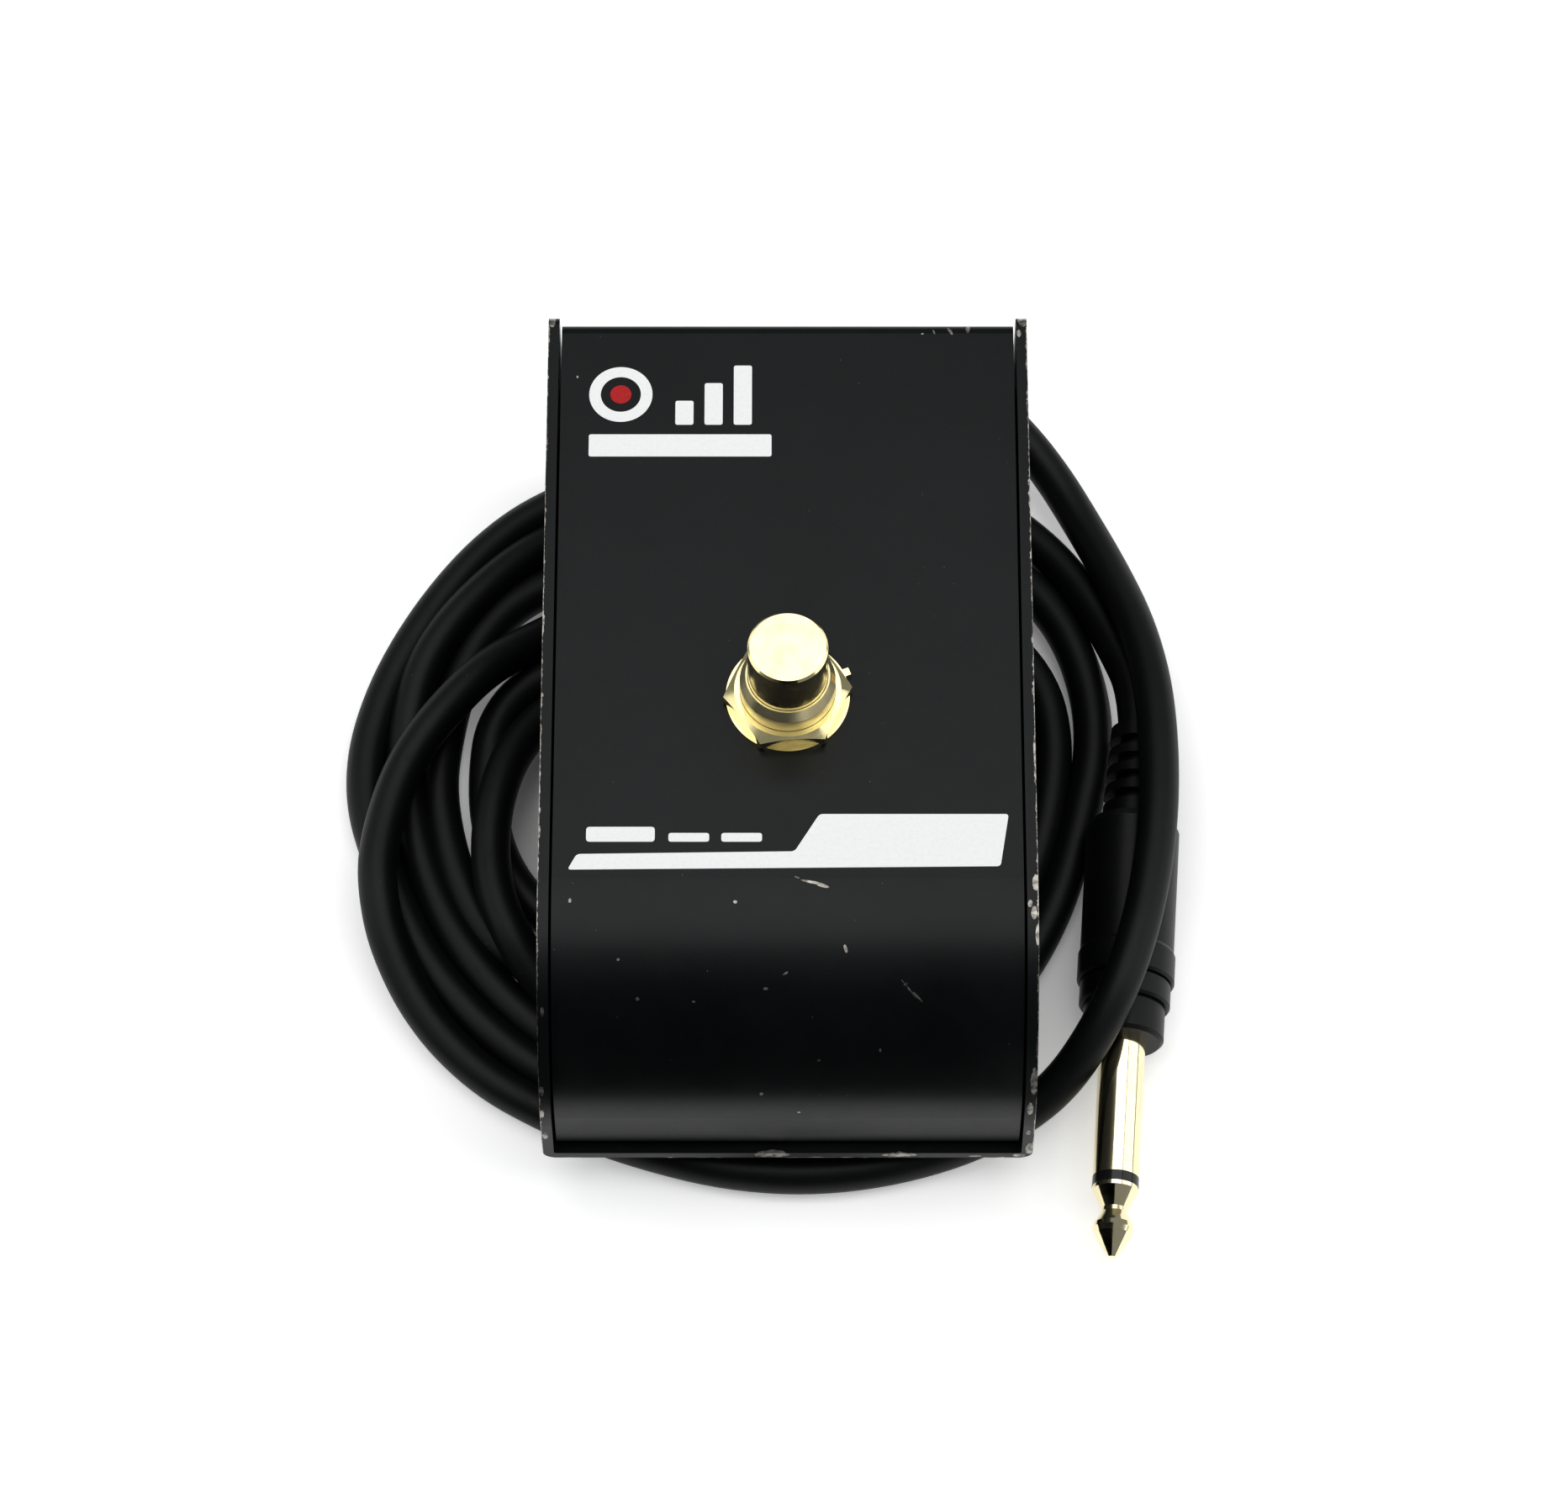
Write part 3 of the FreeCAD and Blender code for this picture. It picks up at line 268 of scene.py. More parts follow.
def wall_edge_wear(f, torn, x, y, z):
    """Bare steel along the walls' outer top edges: where the depth below the rounded outline
    plus the depth in from the wall's face is less than a ragged width. The same along the
    plate's front lower edge."""
    over = f.math("MINIMUM", f.math("SUBTRACT", y, SIDE_CURVE[0]), 0.0)
    above = f.math("MAXIMUM", f.math("SUBTRACT", z, SIDE_CURVE[1]), 0.0)
    reach = f.math("SQRT", f.math("ADD", f.math("MULTIPLY", over, over),
                                  f.math("MULTIPLY", above, above)))
    below = f.math("SUBTRACT", SIDE_CURVE[2], reach)
    inward = f.math("SUBTRACT", WALL_OUTSIDE, f.math("ABSOLUTE", x))
    depth = f.math("ADD", f.math("MAXIMUM", below, 0.0), f.math("MAXIMUM", inward, 0.0))
    width = f.span(f.noise(5.5, 4.0, 0.75), 0.38, 0.66, 0.02, 0.27)
    ragged = f.math("MULTIPLY", width, f.span(torn, 0.3, 0.62, 0.25, 1.35))
    line = f.math("LESS_THAN", depth, ragged)
    low = f.math("ADD", f.math("ABSOLUTE", f.math("SUBTRACT", z, BASE_UNDERSIDE)),
                 f.math("ADD", y, BASE_FRONT))
    low_width = f.span(f.noise(6.0, 3.0, 0.6), 0.50, 0.68, 0.0, 0.30)
    return f.math("MAXIMUM", line, f.math("LESS_THAN", low, low_width))


# each chip: its middle, its half sizes and its turn about the vertical
COVER_CHIPS = [
    ((22.4, 53.4, 43.0), (0.22, 0.75, 1.0), 0.5), ((24.9, 53.9, 43.0), (0.3, 0.85, 1.0), -0.1),
    ((20.2, 53.2, 43.0), (0.14, 0.4, 1.0), 0.3), ((18.6, 52.9, 43.0), (0.2, 0.12, 1.0), 0.0),
    ((3.2, -31.1, 43.0), (1.5, 0.20, 1.0), -0.2), ((4.6, -31.6, 43.0), (0.9, 0.26, 1.0), -0.3),
    ((1.2, -30.4, 43.0), (0.35, 0.13, 1.0), -0.4), ((-6.9, -33.9, 42.8), (0.28, 0.24, 0.6), 0.0),
    ((-28.7, -33.7, 42.8), (0.22, 0.30, 0.6), 0.0), ((7.6, -39.9, 41.1), (0.22, 0.55, 0.7), 0.3),
    ((16.0, -44.6, 38.5), (1.7, 0.10, 1.2), -0.8), ((17.1, -45.4, 37.9), (0.9, 0.12, 1.0), -0.7),
    ((-3.5, -53.7, 25.2), (0.25, 0.4, 0.3), 0.0), ((1.5, -54.5, 20.8), (0.2, 0.4, 0.2), 0.0),
    ((15.5, -44.0, 38.9), (0.3, 0.15, 0.4), 0.4), ((-28.9, 46.0, 43.0), (0.14, 0.2, 0.5), 0.0),
    ((-19.8, -45.6, 37.7), (0.26, 0.2, 0.4), 0.3), ((-2.9, -44.5, 38.5), (0.32, 0.18, 0.3), 0.0),
    ((-0.3, -42.8, 39.6), (0.42, 0.13, 0.3), 0.5), ((-12.4, -45.9, 37.5), (0.22, 0.12, 0.3), 0.0),
    ((-22.3, -41.2, 40.5), (0.2, 0.16, 0.3), 0.2), ((4.1, -51.4, 30.9), (0.24, 0.12, 0.2), 0.0),
    ((-15.5, -28.0, 43.0), (0.2, 0.14, 0.5), 0.0), ((12.2, -50.6, 32.3), (0.15, 0.3, 0.3), 0.0),
]
BASE_CHIPS = [
    ((32.6, -52.9, 27.5), (0.62, 1.6, 3.6), 0.0), ((32.2, -54.6, 23.5), (0.5, 1.2, 1.6), 0.0),
    ((32.7, -31.5, 43.5), (0.45, 1.2, 0.7), 0.0), ((32.4, -35.6, 43.0), (0.4, 0.9, 0.9), 0.0),
    ((31.9, -34.4, 43.3), (0.3, 0.5, 0.5), 0.0), ((32.8, -38.5, 42.4), (0.25, 1.5, 0.8), 0.0),
    ((32.5, -55.7, 11.5), (0.5, 0.5, 1.7), 0.0), ((31.2, -55.75, 9.3), (0.9, 0.5, 0.5), 0.0),
    ((32.2, -55.4, 17.0), (0.35, 0.7, 0.8), 0.0), ((-32.6, -53.5, 27.0), (0.4, 1.2, 1.3), 0.0),
    ((-32.7, -54.9, 22.3), (0.45, 0.8, 1.3), 0.0), ((-32.5, -55.4, 15.8), (0.4, 0.6, 1.4), 0.0),
    ((-32.3, -47.5, 37.6), (0.25, 0.7, 0.6), 0.0), ((-2.1, -55.75, 9.5), (2.3, 0.6, 0.9), 0.0),
    ((15.0, -55.75, 9.4), (2.3, 0.6, 0.62), 0.0), ((25.3, -55.75, 9.0), (0.8, 0.4, 0.22), 0.0),
    ((-32.5, 54.6, 43.2), (0.5, 1.1, 0.9), 0.0), ((32.4, 54.7, 43.3), (0.7, 1.1, 0.8), 0.0),
    ((31.9, 52.6, 43.6), (0.3, 0.6, 0.4), 0.0), ((33.0, 20.0, 43.4), (0.2, 1.6, 0.35), 0.0),
    ((32.9, -12.0, 43.5), (0.2, 2.4, 0.4), 0.0), ((-32.9, 8.0, 43.5), (0.2, 0.9, 0.3), 0.0),
    ((-32.9, -24.0, 43.5), (0.2, 1.0, 0.4), 0.0),
]


PIT_BROWN = (0.30, 0.24, 0.15)


def plated(name, tint, dark, rough_low, rough_high):
    """Warm bright plating with faint cloudy tarnish, fine scratches and pits. It is smoothest
    between the clouds and dullest in them."""
    f = Finish(name, Metallic=1.0)
    cloud = f.span(f.noise(3.2, 4.0, 0.65), 0.38, 0.66)
    pits = f.math("LESS_THAN", f.cells(0.9)["Distance"], 0.075)
    colour = f.blend(f.math("MULTIPLY", cloud, 0.55), tint, dark)
    colour = f.blend(f.math("MULTIPLY", pits, 0.45), colour, PIT_BROWN)
    scratches = f.noise(0.5, 3.0, 0.6, place=f.stretch(by=(1.0, 0.22, 0.5), turn=(0.3, 0.2, 0.7)))
    mixed = f.math("ADD", f.math("MULTIPLY", cloud, 0.6), f.math("MULTIPLY", scratches, 0.4))
    rough = f.span(mixed, 0.2, 0.8, rough_low, rough_high)
    f.bump(scratches, 0.006, 0.3)
    f.bump(f.noise(1.6, 3.0), 0.02, 0.12)
    return f.use(Base_Color=colour, Roughness=rough)


def zinc(name, light, dark):
    """Zinc-plated steel: cloudy grey with a fine grain."""
    f = Finish(name, Metallic=1.0)
    grain = f.noise(0.35, 4.0, 0.7)
    cloud = f.noise(4.0, 3.0)
    colour = f.blend(f.span(cloud, 0.35, 0.65), light, dark)
    f.bump(grain, 0.01, 0.3)
    return f.use(Base_Color=colour, Roughness=f.span(grain, 0.3, 0.7, 0.28, 0.46))


def moulded(name, light, dark, rough, grain, depth, level=0.4, speck=None):
    """Moulded plastic or rubber: a fine even texture, slight colour drift and scuffs. The grain
    and the depth of the texture are in millimetres, level is how strongly it mirrors, and speck
    is the colour of its scattered dust."""
    f = Finish(name, Specular_IOR_Level=level)
    drift = f.span(f.noise(9.0, 4.0, 0.6), 0.35, 0.65)
    texture = f.noise(grain, 3.0, 0.6)
    scuff = f.span(f.noise(1.4, 5.0, 0.75, place=f.stretch(by=(1.0, 0.3, 1.0))), 0.56, 0.70)
    colour = f.blend(drift, dark, light)
    if speck is not None:
        motes = f.cells(1.6)
        few = f.math("GREATER_THAN", f.axes(motes["Color"])[0], 0.90)
        mote = f.math("MULTIPLY", few, f.math("LESS_THAN", motes["Distance"], 0.07))
        colour = f.blend(f.math("MULTIPLY", mote, 0.6), colour, speck)
    level_rough = f.math("MULTIPLY_ADD", texture, 0.10, rough - 0.05)
    level_rough = f.math("MULTIPLY_ADD", scuff, 0.08, level_rough)
    f.bump(texture, depth, 0.5)
    return f.use(Base_Color=colour, Roughness=level_rough)


def printed_ink(name, light, dark):
    """Screen-printed ink, a little thinner and duller in places."""
    f = Finish(name, Specular_IOR_Level=0.3)
    cover = f.span(f.noise(0.5, 4.0, 0.7), 0.25, 0.55)
    f.bump(f.noise(0.2, 2.0), 0.004, 0.3)
    return f.use(Base_Color=f.blend(cover, dark, light), Roughness=f.span(cover, 0, 1, 0.55, 0.45))


finishes = {
    "painted_cover": paint("painted_cover", COVER_CHIPS, None, 0.075),
    "painted_base": paint("painted_base", BASE_CHIPS, wall_edge_wear, 0.04),
    "nickel": plated("nickel", (0.93, 0.83, 0.48), (0.85, 0.74, 0.42), 0.10, 0.23),
    "plug_metal": plated("plug_metal", (0.96, 0.88, 0.62), (0.84, 0.74, 0.48), 0.07, 0.16),
    "zinc_steel": zinc("zinc_steel", (0.62, 0.62, 0.60), (0.42, 0.42, 0.40)),
    "spring_steel": zinc("spring_steel", (0.52, 0.52, 0.51), (0.34, 0.33, 0.32)),
    "contact_metal": plated("contact_metal", (0.86, 0.70, 0.40), (0.62, 0.45, 0.22), 0.18, 0.34),
    "foot_rubber": moulded("foot_rubber", (0.020, 0.020, 0.020), (0.011, 0.011, 0.011),
                           0.62, 0.35, 0.03, 0.3, (0.12, 0.12, 0.11)),
    "case_plastic": moulded("case_plastic", (0.045, 0.10, 0.30), (0.03, 0.075, 0.24),
                            0.42, 0.5, 0.01),
    "moving_plastic": moulded("moving_plastic", (0.80, 0.78, 0.72), (0.70, 0.67, 0.60),
                              0.40, 0.6, 0.01),
    "lead_jacket": moulded("lead_jacket", (0.0044, 0.0052, 0.0052), (0.0024, 0.0030, 0.0032),
                           0.47, 0.30, 0.010, 0.33, (0.07, 0.07, 0.068)),
    "core_insulation": moulded("core_insulation", (0.62, 0.06, 0.045), (0.50, 0.045, 0.035),
                               0.42, 0.5, 0.006),
    "plug_moulding": moulded("plug_moulding", (0.0056, 0.0060, 0.0066), (0.0034, 0.0038, 0.0042),
                             0.38, 0.25, 0.012, 0.32, (0.06, 0.06, 0.058)),
    "insulator_plastic": moulded("insulator_plastic", (0.010, 0.010, 0.010),
                                 (0.006, 0.006, 0.006), 0.14, 0.8, 0.003, 0.5),
    "tie_nylon": moulded("tie_nylon", (0.74, 0.74, 0.69), (0.64, 0.63, 0.57), 0.38, 0.5, 0.006),
}
print_white = printed_ink("print_white", (0.96, 0.965, 0.96), (0.90, 0.905, 0.90))
print_red = printed_ink("print_red", (0.52, 0.020, 0.022), (0.40, 0.012, 0.014))

for row in frame["record"]["subparts"]:
    node = frame["nodes"][row["node"]]
    node.data.materials.clear()
    node.data.materials.append(finishes[row["material_slot"]])
# the bush's plating is duller than the button's and the nut's
frame["nodes"]["switch_bushing"].data.materials[0] = plated(
    "nickel_thread", (0.95, 0.86, 0.55), (0.86, 0.75, 0.45), 0.34, 0.46)


# ---------------------------------------------------------------- the lead
LEAD_RADIUS = 2.75
# the middle of the lead in millimetres, from the rear wall to the plug
LEAD_ROUTE = [
    # out of the grommet, over the plug and round to the front
    (1.62, 61.27, 16.0), (7.05, 63.80, 15.71), (14.0, 65.4, 13.9), (21.2, 65.2, 11.0),
    (28.0, 62.7, 8.2), (33.6, 57.9, 5.9), (38.2, 51.7, 4.7), (42.0, 44.3, 4.8), (45.7, 35.1, 7.3),
    (48.9, 24.8, 11.0), (50.8, 14.5, 13.9), (51.4, 4.0, 15.4), (51.1, -6.5, 16.5),
    (49.9, -16.5, 16.8), (47.9, -25.5, 16.8), (45.2, -33.4, 16.1), (41.5, -39.9, 12.5),
    (36.9, -44.8, 7.2), (30.6, -48.7, 4.2), (22.3, -52.3, 3.0), (12.0, -55.0, 2.75),
    (1.5, -56.0, 2.75),
    # outermost at the front left, then up and over three turns
    (-9, -55.0, 2.75), (-18.7, -52.4, 2.75), (-26.5, -49.6, 2.75), (-33.6, -46.2, 2.75),
    (-40.5, -42.2, 2.9), (-46.5, -36.7, 3.2), (-50.7, -31.3, 4.2), (-53.5, -26.2, 5.5),
    (-55.5, -21.2, 7.0), (-56.5, -16.0, 8.1), (-56.8, -11.0, 8.4), (-55.9, -4.9, 8.4),
    (-54.2, 1.4, 8.5), (-51.5, 7.1, 8.8), (-47.5, 12.7, 9.0), (-43.1, 18.3, 8.3),
    (-38.7, 22.6, 6.4), (-34.1, 26.3, 4.4),
    # under the box, the fourth turn in
    (-28, 30.6, 2.9), (-20, 33.8, 2.75), (-10, 35.0, 2.75), (0, 34.0, 2.75), (9.4, 31.0, 2.75),
    (17.6, 25.8, 2.75), (25.0, 19.0, 2.75), (29.8, 10.7, 2.75), (31.0, 2, 2.75), (29.3, -7.2, 2.75),
    (25.2, -15.5, 2.75), (20.2, -23.5, 2.75), (13.4, -30, 2.75), (4.6, -34.7, 2.75),
    (-5, -37.0, 2.75), (-15, -37.2, 2.75), (-24.5, -34.8, 2.8),
    # over two turns at the left, to the innermost at the rear
    (-31.4, -30.6, 3.8), (-35.3, -26.4, 6.1), (-37.9, -22.2, 7.9), (-39.9, -17.6, 8.3),
    (-41.0, -12.4, 8.3), (-41.2, -7.0, 8.3), (-40.6, -1.3, 8.2), (-39.1, 4.6, 7.4),
    (-36.6, 9.8, 5.9), (-33.0, 14.4, 4.3), (-27.6, 18.6, 3.1),
    (-19, 22.0, 2.75), (-9, 22.9, 2.75), (0.5, 20.8, 2.75), (8.5, 16.2, 2.75), (14.6, 9.5, 2.75),
    (17.9, 1.5, 2.75), (17.2, -7, 2.75), (12.8, -15, 2.75), (5.5, -20.8, 2.75),
    (-4, -23.8, 2.75), (-14, -24.0, 2.75), (-23.5, -21.6, 2.75),
    # the fifth turn in, beneath the one above at the left
    (-29.4, -19.6, 2.75), (-34.2, -16.6, 2.75), (-37.9, -12.4, 2.75), (-40.6, -7.0, 2.75),
    (-41.9, -0.5, 2.75), (-42.0, 6.0, 2.75), (-41.4, 12.2, 2.75), (-38.4, 17.6, 2.75),
    (-33.2, 21.2, 2.75), (-26.2, 25.2, 2.75), (-16, 28.2, 2.75), (-5, 28.6, 2.75),
    (5.5, 25.7, 2.75), (14.5, 20.0, 2.75), (21, 12.0, 2.75), (24.0, 2.5, 2.75), (23, -7, 2.75),
    (18.6, -16, 2.75), (11, -23.6, 2.75), (2, -28.8, 2.75), (-9, -30.6, 2.75),
    (-19.5, -29.2, 2.75),
    # third turn in
    (-28.6, -26.4, 2.75), (-34.4, -25.0, 2.75), (-39.2, -22.4, 2.75), (-42.9, -17.8, 2.75),
    (-45.8, -11.8, 2.75), (-48.0, -4.2, 2.75), (-49.0, 3.4, 2.75), (-48.4, 9.9, 2.75),
    (-47.3, 16.2, 2.75), (-45.6, 22.1, 2.75), (-43.0, 27.2, 2.75), (-39.2, 31.8, 2.75),
    (-34.0, 35.2, 2.75), (-26, 38.6, 2.75), (-16, 41.1, 2.75), (-5, 41.6, 2.75),
    (6, 39.8, 2.75), (16, 36.2, 2.75), (24.8, 31.2, 2.75), (31.6, 25.2, 2.75),
    (36.1, 18.5, 2.75), (37.5, 10.0, 2.75), (36.7, 1, 2.75), (34.7, -7.9, 2.75),
    (30.8, -17.0, 2.75), (25.6, -25.6, 2.75), (18.5, -33.4, 2.75), (9, -39.6, 2.75),
    (-2, -42.5, 2.75), (-12.5, -42.9, 2.75), (-22.5, -41.0, 2.75), (-30.8, -36.9, 2.75),
    # second turn in
    (-37.9, -30.8, 2.75), (-44.0, -23.4, 2.75), (-48.7, -15.4, 2.75), (-51.7, -6.5, 2.75),
    (-53.2, 1.3, 2.75), (-53.7, 7.5, 3.0), (-53.3, 13.1, 3.6), (-51.7, 20.6, 4.5),
    (-48.3, 26.9, 5.0), (-43.9, 32.5, 4.9), (-38.7, 38.1, 4.2), (-33.8, 42.0, 3.2),
    (-26.5, 45.6, 2.75), (-16.5, 48.4, 2.75), (-5.5, 49.3, 2.75), (5.5, 48.3, 2.75),
    (16, 45.6, 2.75), (25.4, 41.4, 2.75), (31.8, 37.4, 2.75), (36.4, 32.6, 2.75),
    (39.8, 26.9, 2.75), (42.0, 20.5, 2.75), (43.1, 13.6, 2.75), (42.8, 6.5, 2.75),
    (41.1, -1.0, 2.75), (39.4, -8.2, 2.75), (37.2, -15.2, 2.75), (34.0, -22.2, 2.75),
    (29.6, -29.0, 2.75), (23.4, -35.6, 2.75), (15.4, -41.8, 2.75), (6, -46.7, 2.75),
    (-4.5, -49.3, 2.75), (-15, -48.2, 2.75), (-25, -45.0, 2.75), (-32.8, -41.0, 2.75),
    # outermost at the rear left
    (-38.8, -36.6, 2.75), (-44.4, -31.0, 2.75), (-49.6, -24.4, 2.75), (-53.4, -16.8, 2.75),
    (-56.8, -7.7, 2.75), (-58.8, -1.1, 2.75), (-59.3, 5.5, 2.75), (-58.4, 12.5, 2.75),
    (-55.6, 21.2, 2.75), (-51.0, 30.1, 2.75), (-45.2, 38.4, 2.75), (-39.1, 44.5, 2.75),
    (-33.0, 48.4, 2.75), (-25, 52.0, 2.75), (-14, 54.6, 2.75),
    # behind the box and into the plug's strain relief
    (-2.0, 55.4, 2.75), (9.0, 54.8, 2.75), (19.6, 52.4, 2.75), (28.8, 47.8, 2.75),
    (35.8, 41.9, 2.85), (40.4, 36.0, 3.4), (43.9, 29.6, 4.4), (46.8, 22.9, 5.6),
    (49.1, 16.2, 6.6), (49.09, 9.80, 6.7),
]


def lay_lead():
    """The lead as one smooth round curve, its control points those of the route."""
    curve = bpy.data.curves.new("lead", "CURVE")
    curve.dimensions = "3D"
    spline = curve.splines.new("NURBS")
    spline.points.add(len(LEAD_ROUTE) - 1)
    for point, place in zip(spline.points, LEAD_ROUTE):
        point.co = (*(value * MM for value in place), 1.0)
    spline.order_u = 3
    spline.use_endpoint_u = True
    spline.resolution_u = 5
    curve.bevel_depth = LEAD_RADIUS * MM
    curve.bevel_resolution = 7
    curve.use_fill_caps = True
    curve.materials.append(finishes["lead_jacket"])
    lead = bpy.data.objects.new("lead", curve)
    bpy.context.scene.collection.objects.link(lead)
    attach(lead, "housing")
    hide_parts("lead_out_tube", "lead_coil", "lead_plug_tube")


lay_lead()


# ---------------------------------------------------------------- the return spring
SPRING_TURNS = 7.0
SPRING_FLAT = 0.4                       # turns laid flat at each end
SPRING_WIRE = 0.32                      # the wire's radius
SPRING_SIDES = 10
SPRING_STEPS = 281


def wind_spring():
    """A coil of round wire. At turn t the path is at angle 2 pi t round the button's axis and
    rises evenly from the seat to the button's head, apart from a flat part turn at each end."""
    low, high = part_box("return_spring")
    middle_x = (low.x + high.x) / 2 / MM
    middle_y = (low.y + high.y) / 2 / MM
    radius = (high.x - low.x) / 2 / MM - SPRING_WIRE
    turn = np.linspace(0.0, SPRING_TURNS, SPRING_STEPS)
    climb = np.clip((turn - SPRING_FLAT) / (SPRING_TURNS - 2 * SPRING_FLAT), 0.0, 1.0)
    bottom = low.z / MM + SPRING_WIRE
    top = high.z / MM - SPRING_WIRE
    angle = 2 * math.pi * turn
    path = np.stack([middle_x + radius * np.cos(angle), middle_y + radius * np.sin(angle),
                     bottom + (top - bottom) * climb], axis=1)
    points = round_wire(path, SPRING_WIRE, SPRING_SIDES)
    faces = grid_faces(SPRING_STEPS, SPRING_SIDES)
    last = (SPRING_STEPS - 1) * SPRING_SIDES
    faces.append(list(range(SPRING_SIDES))[::-1])
    faces.append(list(range(last, last + SPRING_SIDES)))
    spring = mesh_piece("return_spring_wire", points, faces, finishes["spring_steel"])
    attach(spring, "housing")
    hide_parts("return_spring")
    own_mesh(spring)


wind_spring()


# ---------------------------------------------------------------- the panel's print
INK_THICKNESS = 0.03
panel_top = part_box("top_cover")[1].z / MM


def rounded_outline(corners, radius, steps=5):
    """A polygon's corners each replaced by a short curve: the points (1-t)^2 a + 2t(1-t) c + t^2 b
    between two spots a and b that lie a radius from the corner c along its sides."""
    corner = np.asarray(corners, float)
    before = np.roll(corner, 1, axis=0) - corner
    after = np.roll(corner, -1, axis=0) - corner
    before /= np.linalg.norm(before, axis=1, keepdims=True)
    after /= np.linalg.norm(after, axis=1, keepdims=True)
    t = np.linspace(0, 1, steps)[None, :, None]
    a = (corner + before * radius)[:, None]
    b = (corner + after * radius)[:, None]
    c = corner[:, None]
    return ((1 - t) ** 2 * a + 2 * t * (1 - t) * c + t ** 2 * b).reshape(-1, 2)


def circle_outline(x, y, radius, steps=48):
    """Points round a circle."""
    angle = np.linspace(0, 2 * math.pi, steps, endpoint=False)
    return np.stack([x + radius * np.cos(angle), y + radius * np.sin(angle)], axis=1)


def slab(outline, inner=None):
    """Points and faces of a thin plate on the panel from its outline, or between two outlines."""
    count = len(outline)
    rings = [outline, outline] if inner is None else [outline, outline, inner, inner]
    heights = [0.0, INK_THICKNESS] if inner is None else [0.0, INK_THICKNESS, INK_THICKNESS, 0.0]
    points = np.concatenate([np.column_stack([ring, np.full(count, panel_top + rise)])
                             for ring, rise in zip(rings, heights)])
    faces = grid_faces(len(rings), count)
    if inner is None:
        faces.append(list(range(count))[::-1])
        faces.append(list(range(count, 2 * count)))
    else:
        last = 3 * count
        faces += [[last + i, last + (i + 1) % count, (i + 1) % count, i] for i in range(count)]
    return points, faces


def printed(name, plates, ink):
    """Several thin plates as one printed piece on the panel."""
    points = []
    faces = []
    start = 0
    for plate_points, plate_faces in plates:
        points.append(plate_points)
        faces += [[index + start for index in face] for face in plate_faces]
        start += len(plate_points)
    piece = mesh_piece(name, np.concatenate(points), faces, ink, smooth=False)
    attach(piece, "housing")


def bar(left, bottom, right, top, radius=0.35):
    """An upright block with softened corners."""
    return slab(rounded_outline([(left, bottom), (right, bottom), (right, top), (left, top)],
                                radius))


RING_X = -22.9
RING_Y = 43.2
printed("print_marks", [
    slab(circle_outline(RING_X, RING_Y, 4.35), circle_outline(RING_X, RING_Y, 2.75)),
    bar(-15.4, 38.4, -12.9, 42.2), bar(-11.4, 38.4, -8.9, 45.0), bar(-7.4, 38.4, -4.9, 47.8),
    bar(-27.2, 33.4, -2.2, 36.9),
    bar(-26.7, -25.2, -17.6, -23.0, 0.5), bar(-15.8, -25.2, -10.4, -23.9, 0.4),
    bar(-8.8, -25.2, -3.4, -23.9, 0.4),
    slab(rounded_outline([(-29.1, -29.3), (28.1, -28.8), (29.3, -21.1), (4.2, -21.1),
                          (0.9, -26.6), (-27.9, -27.0)], 0.5)),
], print_white)
printed("print_dot", [slab(circle_outline(RING_X, RING_Y, 1.45))], print_red)


# ---------------------------------------------------------------- floor, light and camera
def stage_piece(name, corners, material):
    """A flat sheet of the studio, which isn't part of the object."""
    mesh = bpy.data.meshes.new(name)
    mesh.from_pydata(corners, [], [list(range(len(corners)))])
    mesh.materials.append(material)
    sheet = bpy.data.objects.new(name, mesh)
    bpy.context.scene.collection.objects.link(sheet)
    return sheet


FLOOR_HALF = 4.0
PAINTED_SHADE_REACH = (36.0, 60.0)               # from the middle to where the painted shade under the coil and the box starts and ends to fade
GLOW_AND_PAINTED_SHADE = (0.04, 0.42)                     # the paper's own glow at those two: dim inside, as painted shade of the coil and the box


def lay_floor():
    """White paper that glows by itself, evenly but for the middle, where the glow is cut down as
    painted shade of the coil and the box.
    """
    paper = Finish("floor_paper", Roughness=0.9, Specular_IOR_Level=0.1,
                   Emission_Color=(1.0, 1.0, 1.0, 1.0))
    x, y = paper.axes()[:2]
    reach = paper.math("SQRT", paper.math("ADD", paper.math("MULTIPLY", x, x),
                                          paper.math("MULTIPLY", y, y)))
    # painted shade: the paper's glow drops towards the middle, under the coil and the box
    glow_and_painted_shade = paper.span(reach, *PAINTED_SHADE_REACH, *GLOW_AND_PAINTED_SHADE)
    shade = paper.span(paper.noise(40.0, 2.0), 0.3, 0.7)
    paper.use(Base_Color=paper.blend(shade, (0.86, 0.86, 0.85), (0.90, 0.90, 0.89)),
              Emission_Strength=glow_and_painted_shade)
    half = FLOOR_HALF
    stage_piece("floor", [(-half, -half, 0), (half, -half, 0), (half, half, 0), (-half, half, 0)],
                paper.material)


def soft_light(name, place, aim, width, height, power):
    """A rectangular softbox that faces a point."""
    light = bpy.data.lights.new(name, "AREA")
    light.shape = "RECTANGLE"
    light.size = width
    light.size_y = height
    light.energy = power
    lamp = bpy.data.objects.new(name, light)
    facing = (Vector(aim) - Vector(place)).to_track_quat("-Z", "Y")
    lamp.matrix_world = Matrix.Translation(place) @ facing.to_matrix().to_4x4()
    lamp.visible_camera = False
    bpy.context.scene.collection.objects.link(lamp)


FLAG_LEFT = -0.30
FLAG_RIGHT = 0.038
FLAG_Y = -0.100
FLAG_TOP = 0.114
FLAG_FOOT_Y = -0.080
FLAG_FOOT_HEIGHT = 0.0006
ROOM_TINT = (0.95, 0.98, 1.0, 1.0)
ROOM_LIGHT = 0.28


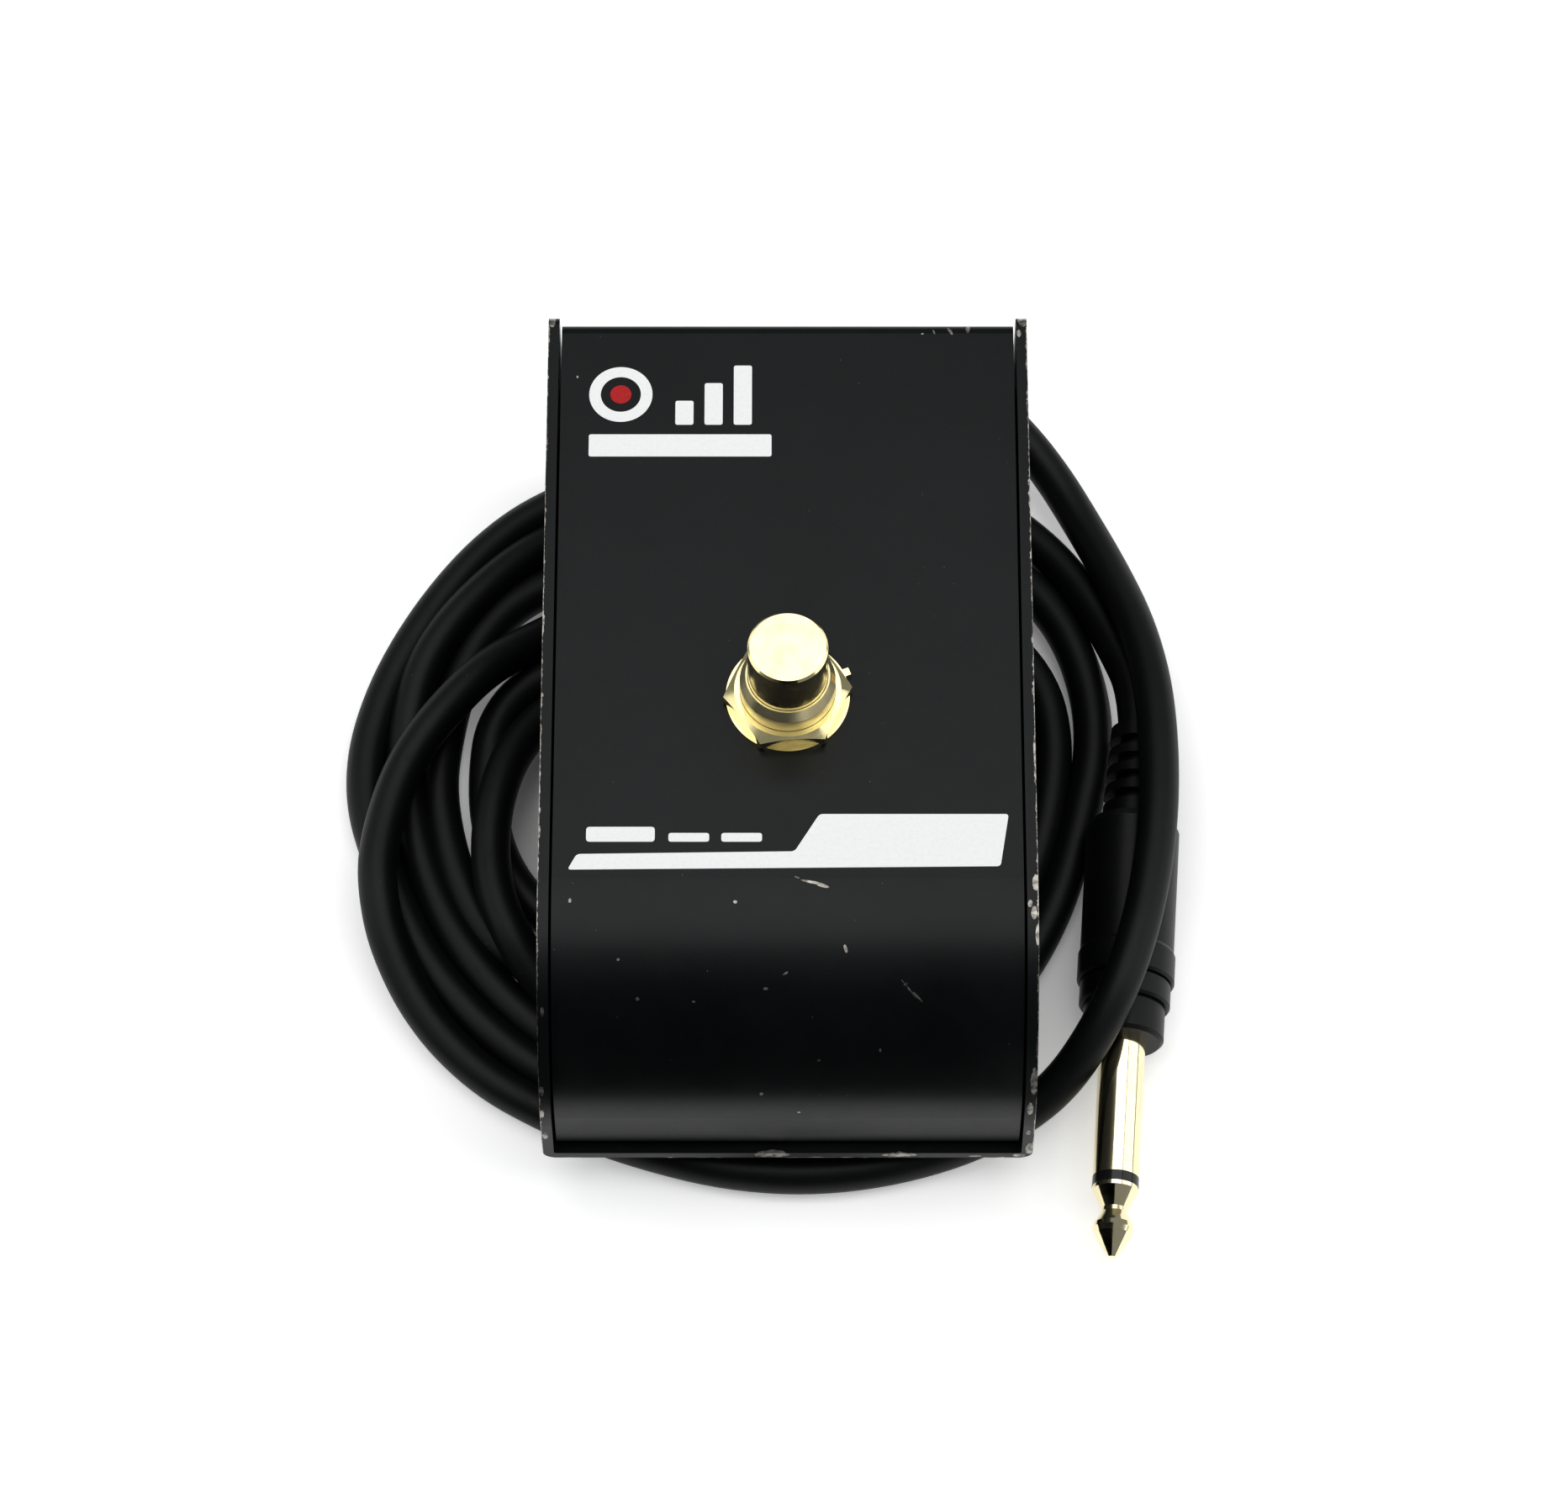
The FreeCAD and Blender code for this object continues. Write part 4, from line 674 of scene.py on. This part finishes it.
def light_studio():
    """One broad softbox overhead, two smaller ones at the sides, a dim room, and a black flag
    in front that only reflections meet, so the cover's curve turns dark."""
    soft_light("top_softbox", (0.0, 0.12, 0.95), (0.0, 0.12, 0.0), 1.2, 0.9, 5.5)
    soft_light("left_softbox", (-0.85, 0.0, 0.50), (0.0, 0.0, 0.05), 0.8, 0.8, 2.0)
    soft_light("right_softbox", (0.85, 0.0, 0.50), (0.0, 0.0, 0.05), 0.9, 0.9, 3.2)
    world = bpy.data.worlds.new("room")
    world.use_nodes = True
    background = world.node_tree.nodes["Background"]
    background.inputs["Color"].default_value = ROOM_TINT
    background.inputs["Strength"].default_value = ROOM_LIGHT
    bpy.context.scene.world = world
    black = Finish("flag_cloth", Roughness=1.0, Specular_IOR_Level=0.0)
    shade = black.span(black.noise(5.0), 0.3, 0.7)
    black.use(Base_Color=black.blend(shade, (0.001, 0.001, 0.001), (0.002, 0.002, 0.002)))
    for name, near, far in (("flag", (FLAG_Y, 0.0), (FLAG_Y, FLAG_TOP)),
                            ("flag_foot", (FLAG_Y, FLAG_FOOT_HEIGHT),
                             (FLAG_FOOT_Y, FLAG_FOOT_HEIGHT))):
        sheet = stage_piece(name, [(FLAG_LEFT, *near), (FLAG_RIGHT, *near),
                                   (FLAG_RIGHT, *far), (FLAG_LEFT, *far)], black.material)
        for ray in ("camera", "diffuse", "shadow", "transmission"):
            setattr(sheet, "visible_" + ray, False)


CAMERA_PLACE = (-0.0005, -0.3833, 0.7727)
CAMERA_TILT = math.radians(27.0)
CAMERA_LENS = 141.1
PICTURE_GAMMA = 0.85


def set_camera():
    """A camera with a long lens, in front of and above the switch."""
    data = bpy.data.cameras.new("camera")
    data.sensor_width = 36.0
    data.lens = CAMERA_LENS
    data.clip_start = 0.01
    camera = bpy.data.objects.new("camera", data)
    camera.matrix_world = Matrix.Translation(CAMERA_PLACE) @ Matrix.Rotation(CAMERA_TILT, 4, "X")
    bpy.context.scene.collection.objects.link(camera)
    bpy.context.scene.camera = camera


lay_floor()
light_studio()
set_camera()
bpy.context.scene.view_settings.view_transform = "Standard"
bpy.context.scene.view_settings.gamma = PICTURE_GAMMA
